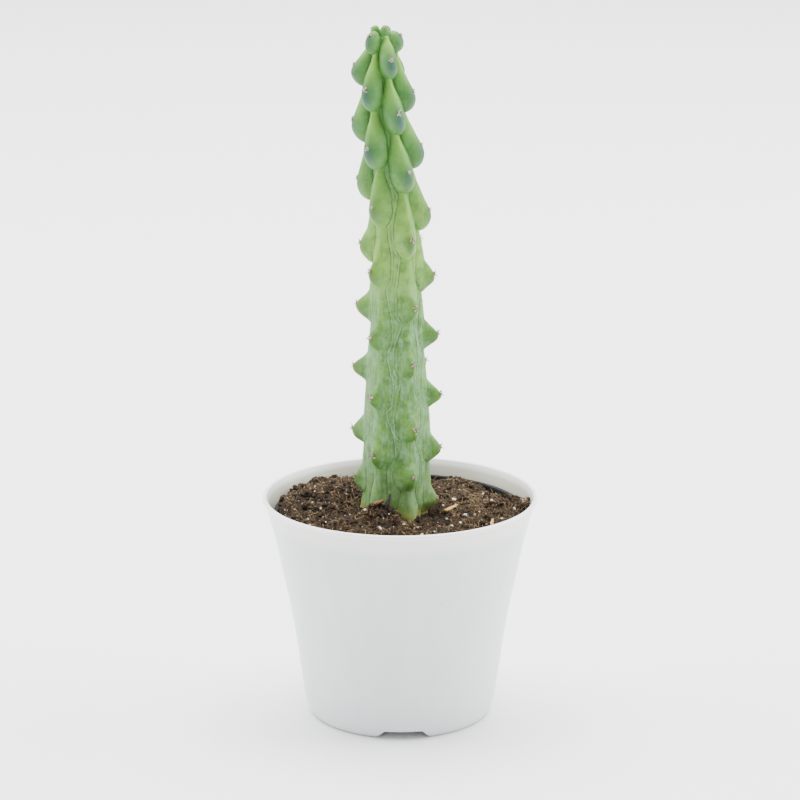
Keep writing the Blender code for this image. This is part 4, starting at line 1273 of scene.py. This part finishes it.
def stage_and_lights():
    """Plain pale floor, soft light from both sides and above, and the photograph's camera."""
    shape = bmesh.new()
    bmesh.ops.create_grid(shape, x_segments=1, y_segments=1, size=6.0)
    floor = from_bmesh("floor", shape, floor_look(), False)
    world = bpy.data.worlds.new("studio")
    world.use_nodes = True
    bpy.context.scene.world = world
    background = world.node_tree.nodes["Background"]
    background.inputs["Color"].default_value = (1.0, 1.0, 1.0, 1.0)
    background.inputs["Strength"].default_value = 0.48
    for name, place, size, power in (
            ("left_light", (-1.5, 0.25, 0.8), 1.3, 30.0),
            ("right_light", (1.5, 0.25, 0.8), 1.3, 37.0),
            ("top_light", (0.0, 0.9, 2.6), 3.2, 340.0),
            ("front_light", (0.25, -1.9, 1.8), 1.2, 15.0)):
        light = bpy.data.lights.new(name, "AREA")
        light.energy = power
        light.size = size
        lamp = bpy.data.objects.new(name, light)
        bpy.context.scene.collection.objects.link(lamp)
        lamp.location = place
        aim = Vector((0.0, place[1] if name == "top_light" else 0.0, 0.12)) - Vector(place)
        lamp.rotation_euler = aim.to_track_quat("-Z", "Y").to_euler()
    camera = bpy.data.cameras.new("camera")
    camera.lens = CAMERA_LENS
    camera.sensor_width = CAMERA_SENSOR
    eye = bpy.data.objects.new("camera", camera)
    bpy.context.scene.collection.objects.link(eye)
    eye.location = CAMERA_PLACE
    eye.rotation_euler = (math.radians(90.0 - CAMERA_PITCH), 0.0, 0.0)
    bpy.context.scene.camera = eye


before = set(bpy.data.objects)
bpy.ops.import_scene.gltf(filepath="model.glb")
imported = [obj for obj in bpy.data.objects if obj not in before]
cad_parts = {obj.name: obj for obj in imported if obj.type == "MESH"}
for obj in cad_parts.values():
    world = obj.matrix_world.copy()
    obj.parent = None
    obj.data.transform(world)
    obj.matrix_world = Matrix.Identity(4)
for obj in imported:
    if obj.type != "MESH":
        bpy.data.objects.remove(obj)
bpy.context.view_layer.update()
stage_and_lights()

white = white_plastic()
black = black_plastic()
skin = skin_look()
peat = soil_look("potting_soil", linear(42, 34, 27), linear(72, 60, 45))
place_piece(white_pot(white), "white_plastic", "outer_pot")
place_piece(black_pot(black), "black_plastic", "inner_pot")

stem = stem_mesh(skin)
for number, young_values in enumerate(YOUNG_TUBERCLES):
    young = young_mesh(young_values, f"young_tubercle_{number}", skin)
    place_piece(young, "cactus_skin")
place_piece(stem, "cactus_skin", "cactus")
wool_tufts, dark_spines = wool_and_spines(wool_look(), spine_look())
place_piece(wool_tufts, "cactus_skin")
place_piece(dark_spines, "cactus_skin")

place_piece(soil_ground(peat), "potting_soil", "soil")
place_piece(soil_crumbs("dark_crumbs", 2600, 60, (0.00018, 0.0011), 61,
                        soil_look("dark_crumbs", linear(36, 28, 22), linear(66, 52, 38))), "potting_soil")
place_piece(soil_crumbs("brown_crumbs", 1700, 60, (0.00018, 0.0009), 62,
                        soil_look("brown_crumbs", linear(64, 50, 36), linear(98, 78, 54))), "potting_soil")
place_piece(perlite_grains(perlite_look()), "potting_soil")
place_piece(root_fibres("root_fibres", 620, 150, (0.00006, 0.00017), 41,
                        wood_look("root_fibres", linear(96, 76, 50), linear(158, 130, 90))), "potting_soil")
place_piece(root_fibres("dark_fibres", 420, 60, (0.00010, 0.00024), 42,
                        wood_look("dark_fibres", linear(48, 36, 26), linear(84, 62, 42))), "potting_soil")
place_piece(bark_bits("bark_bits", 110, (0.0008, 0.0030), 51,
                      wood_look("bark_bits", linear(92, 60, 38), linear(150, 108, 66))), "potting_soil")
place_piece(bark_bits("yellow_bits", 40, (0.0007, 0.0024), 52,
                      wood_look("yellow_bits", linear(128, 96, 48), linear(178, 144, 84))), "potting_soil")
for node, slot_name, dark_tone, light_tone in (
        ("bark_shard", "dark_bark", linear(26, 19, 18), linear(60, 44, 38)),
        ("bark_chip", "orange_bark", linear(78, 50, 32), linear(138, 96, 60)),
        ("wood_sliver", "yellow_wood", linear(150, 112, 56), linear(206, 172, 108)),
        ("pale_stick", "pale_wood", linear(156, 118, 76), linear(204, 168, 118))):
    place_piece(loose_piece(node, wood_look(node, dark_tone, light_tone)), slot_name, node)
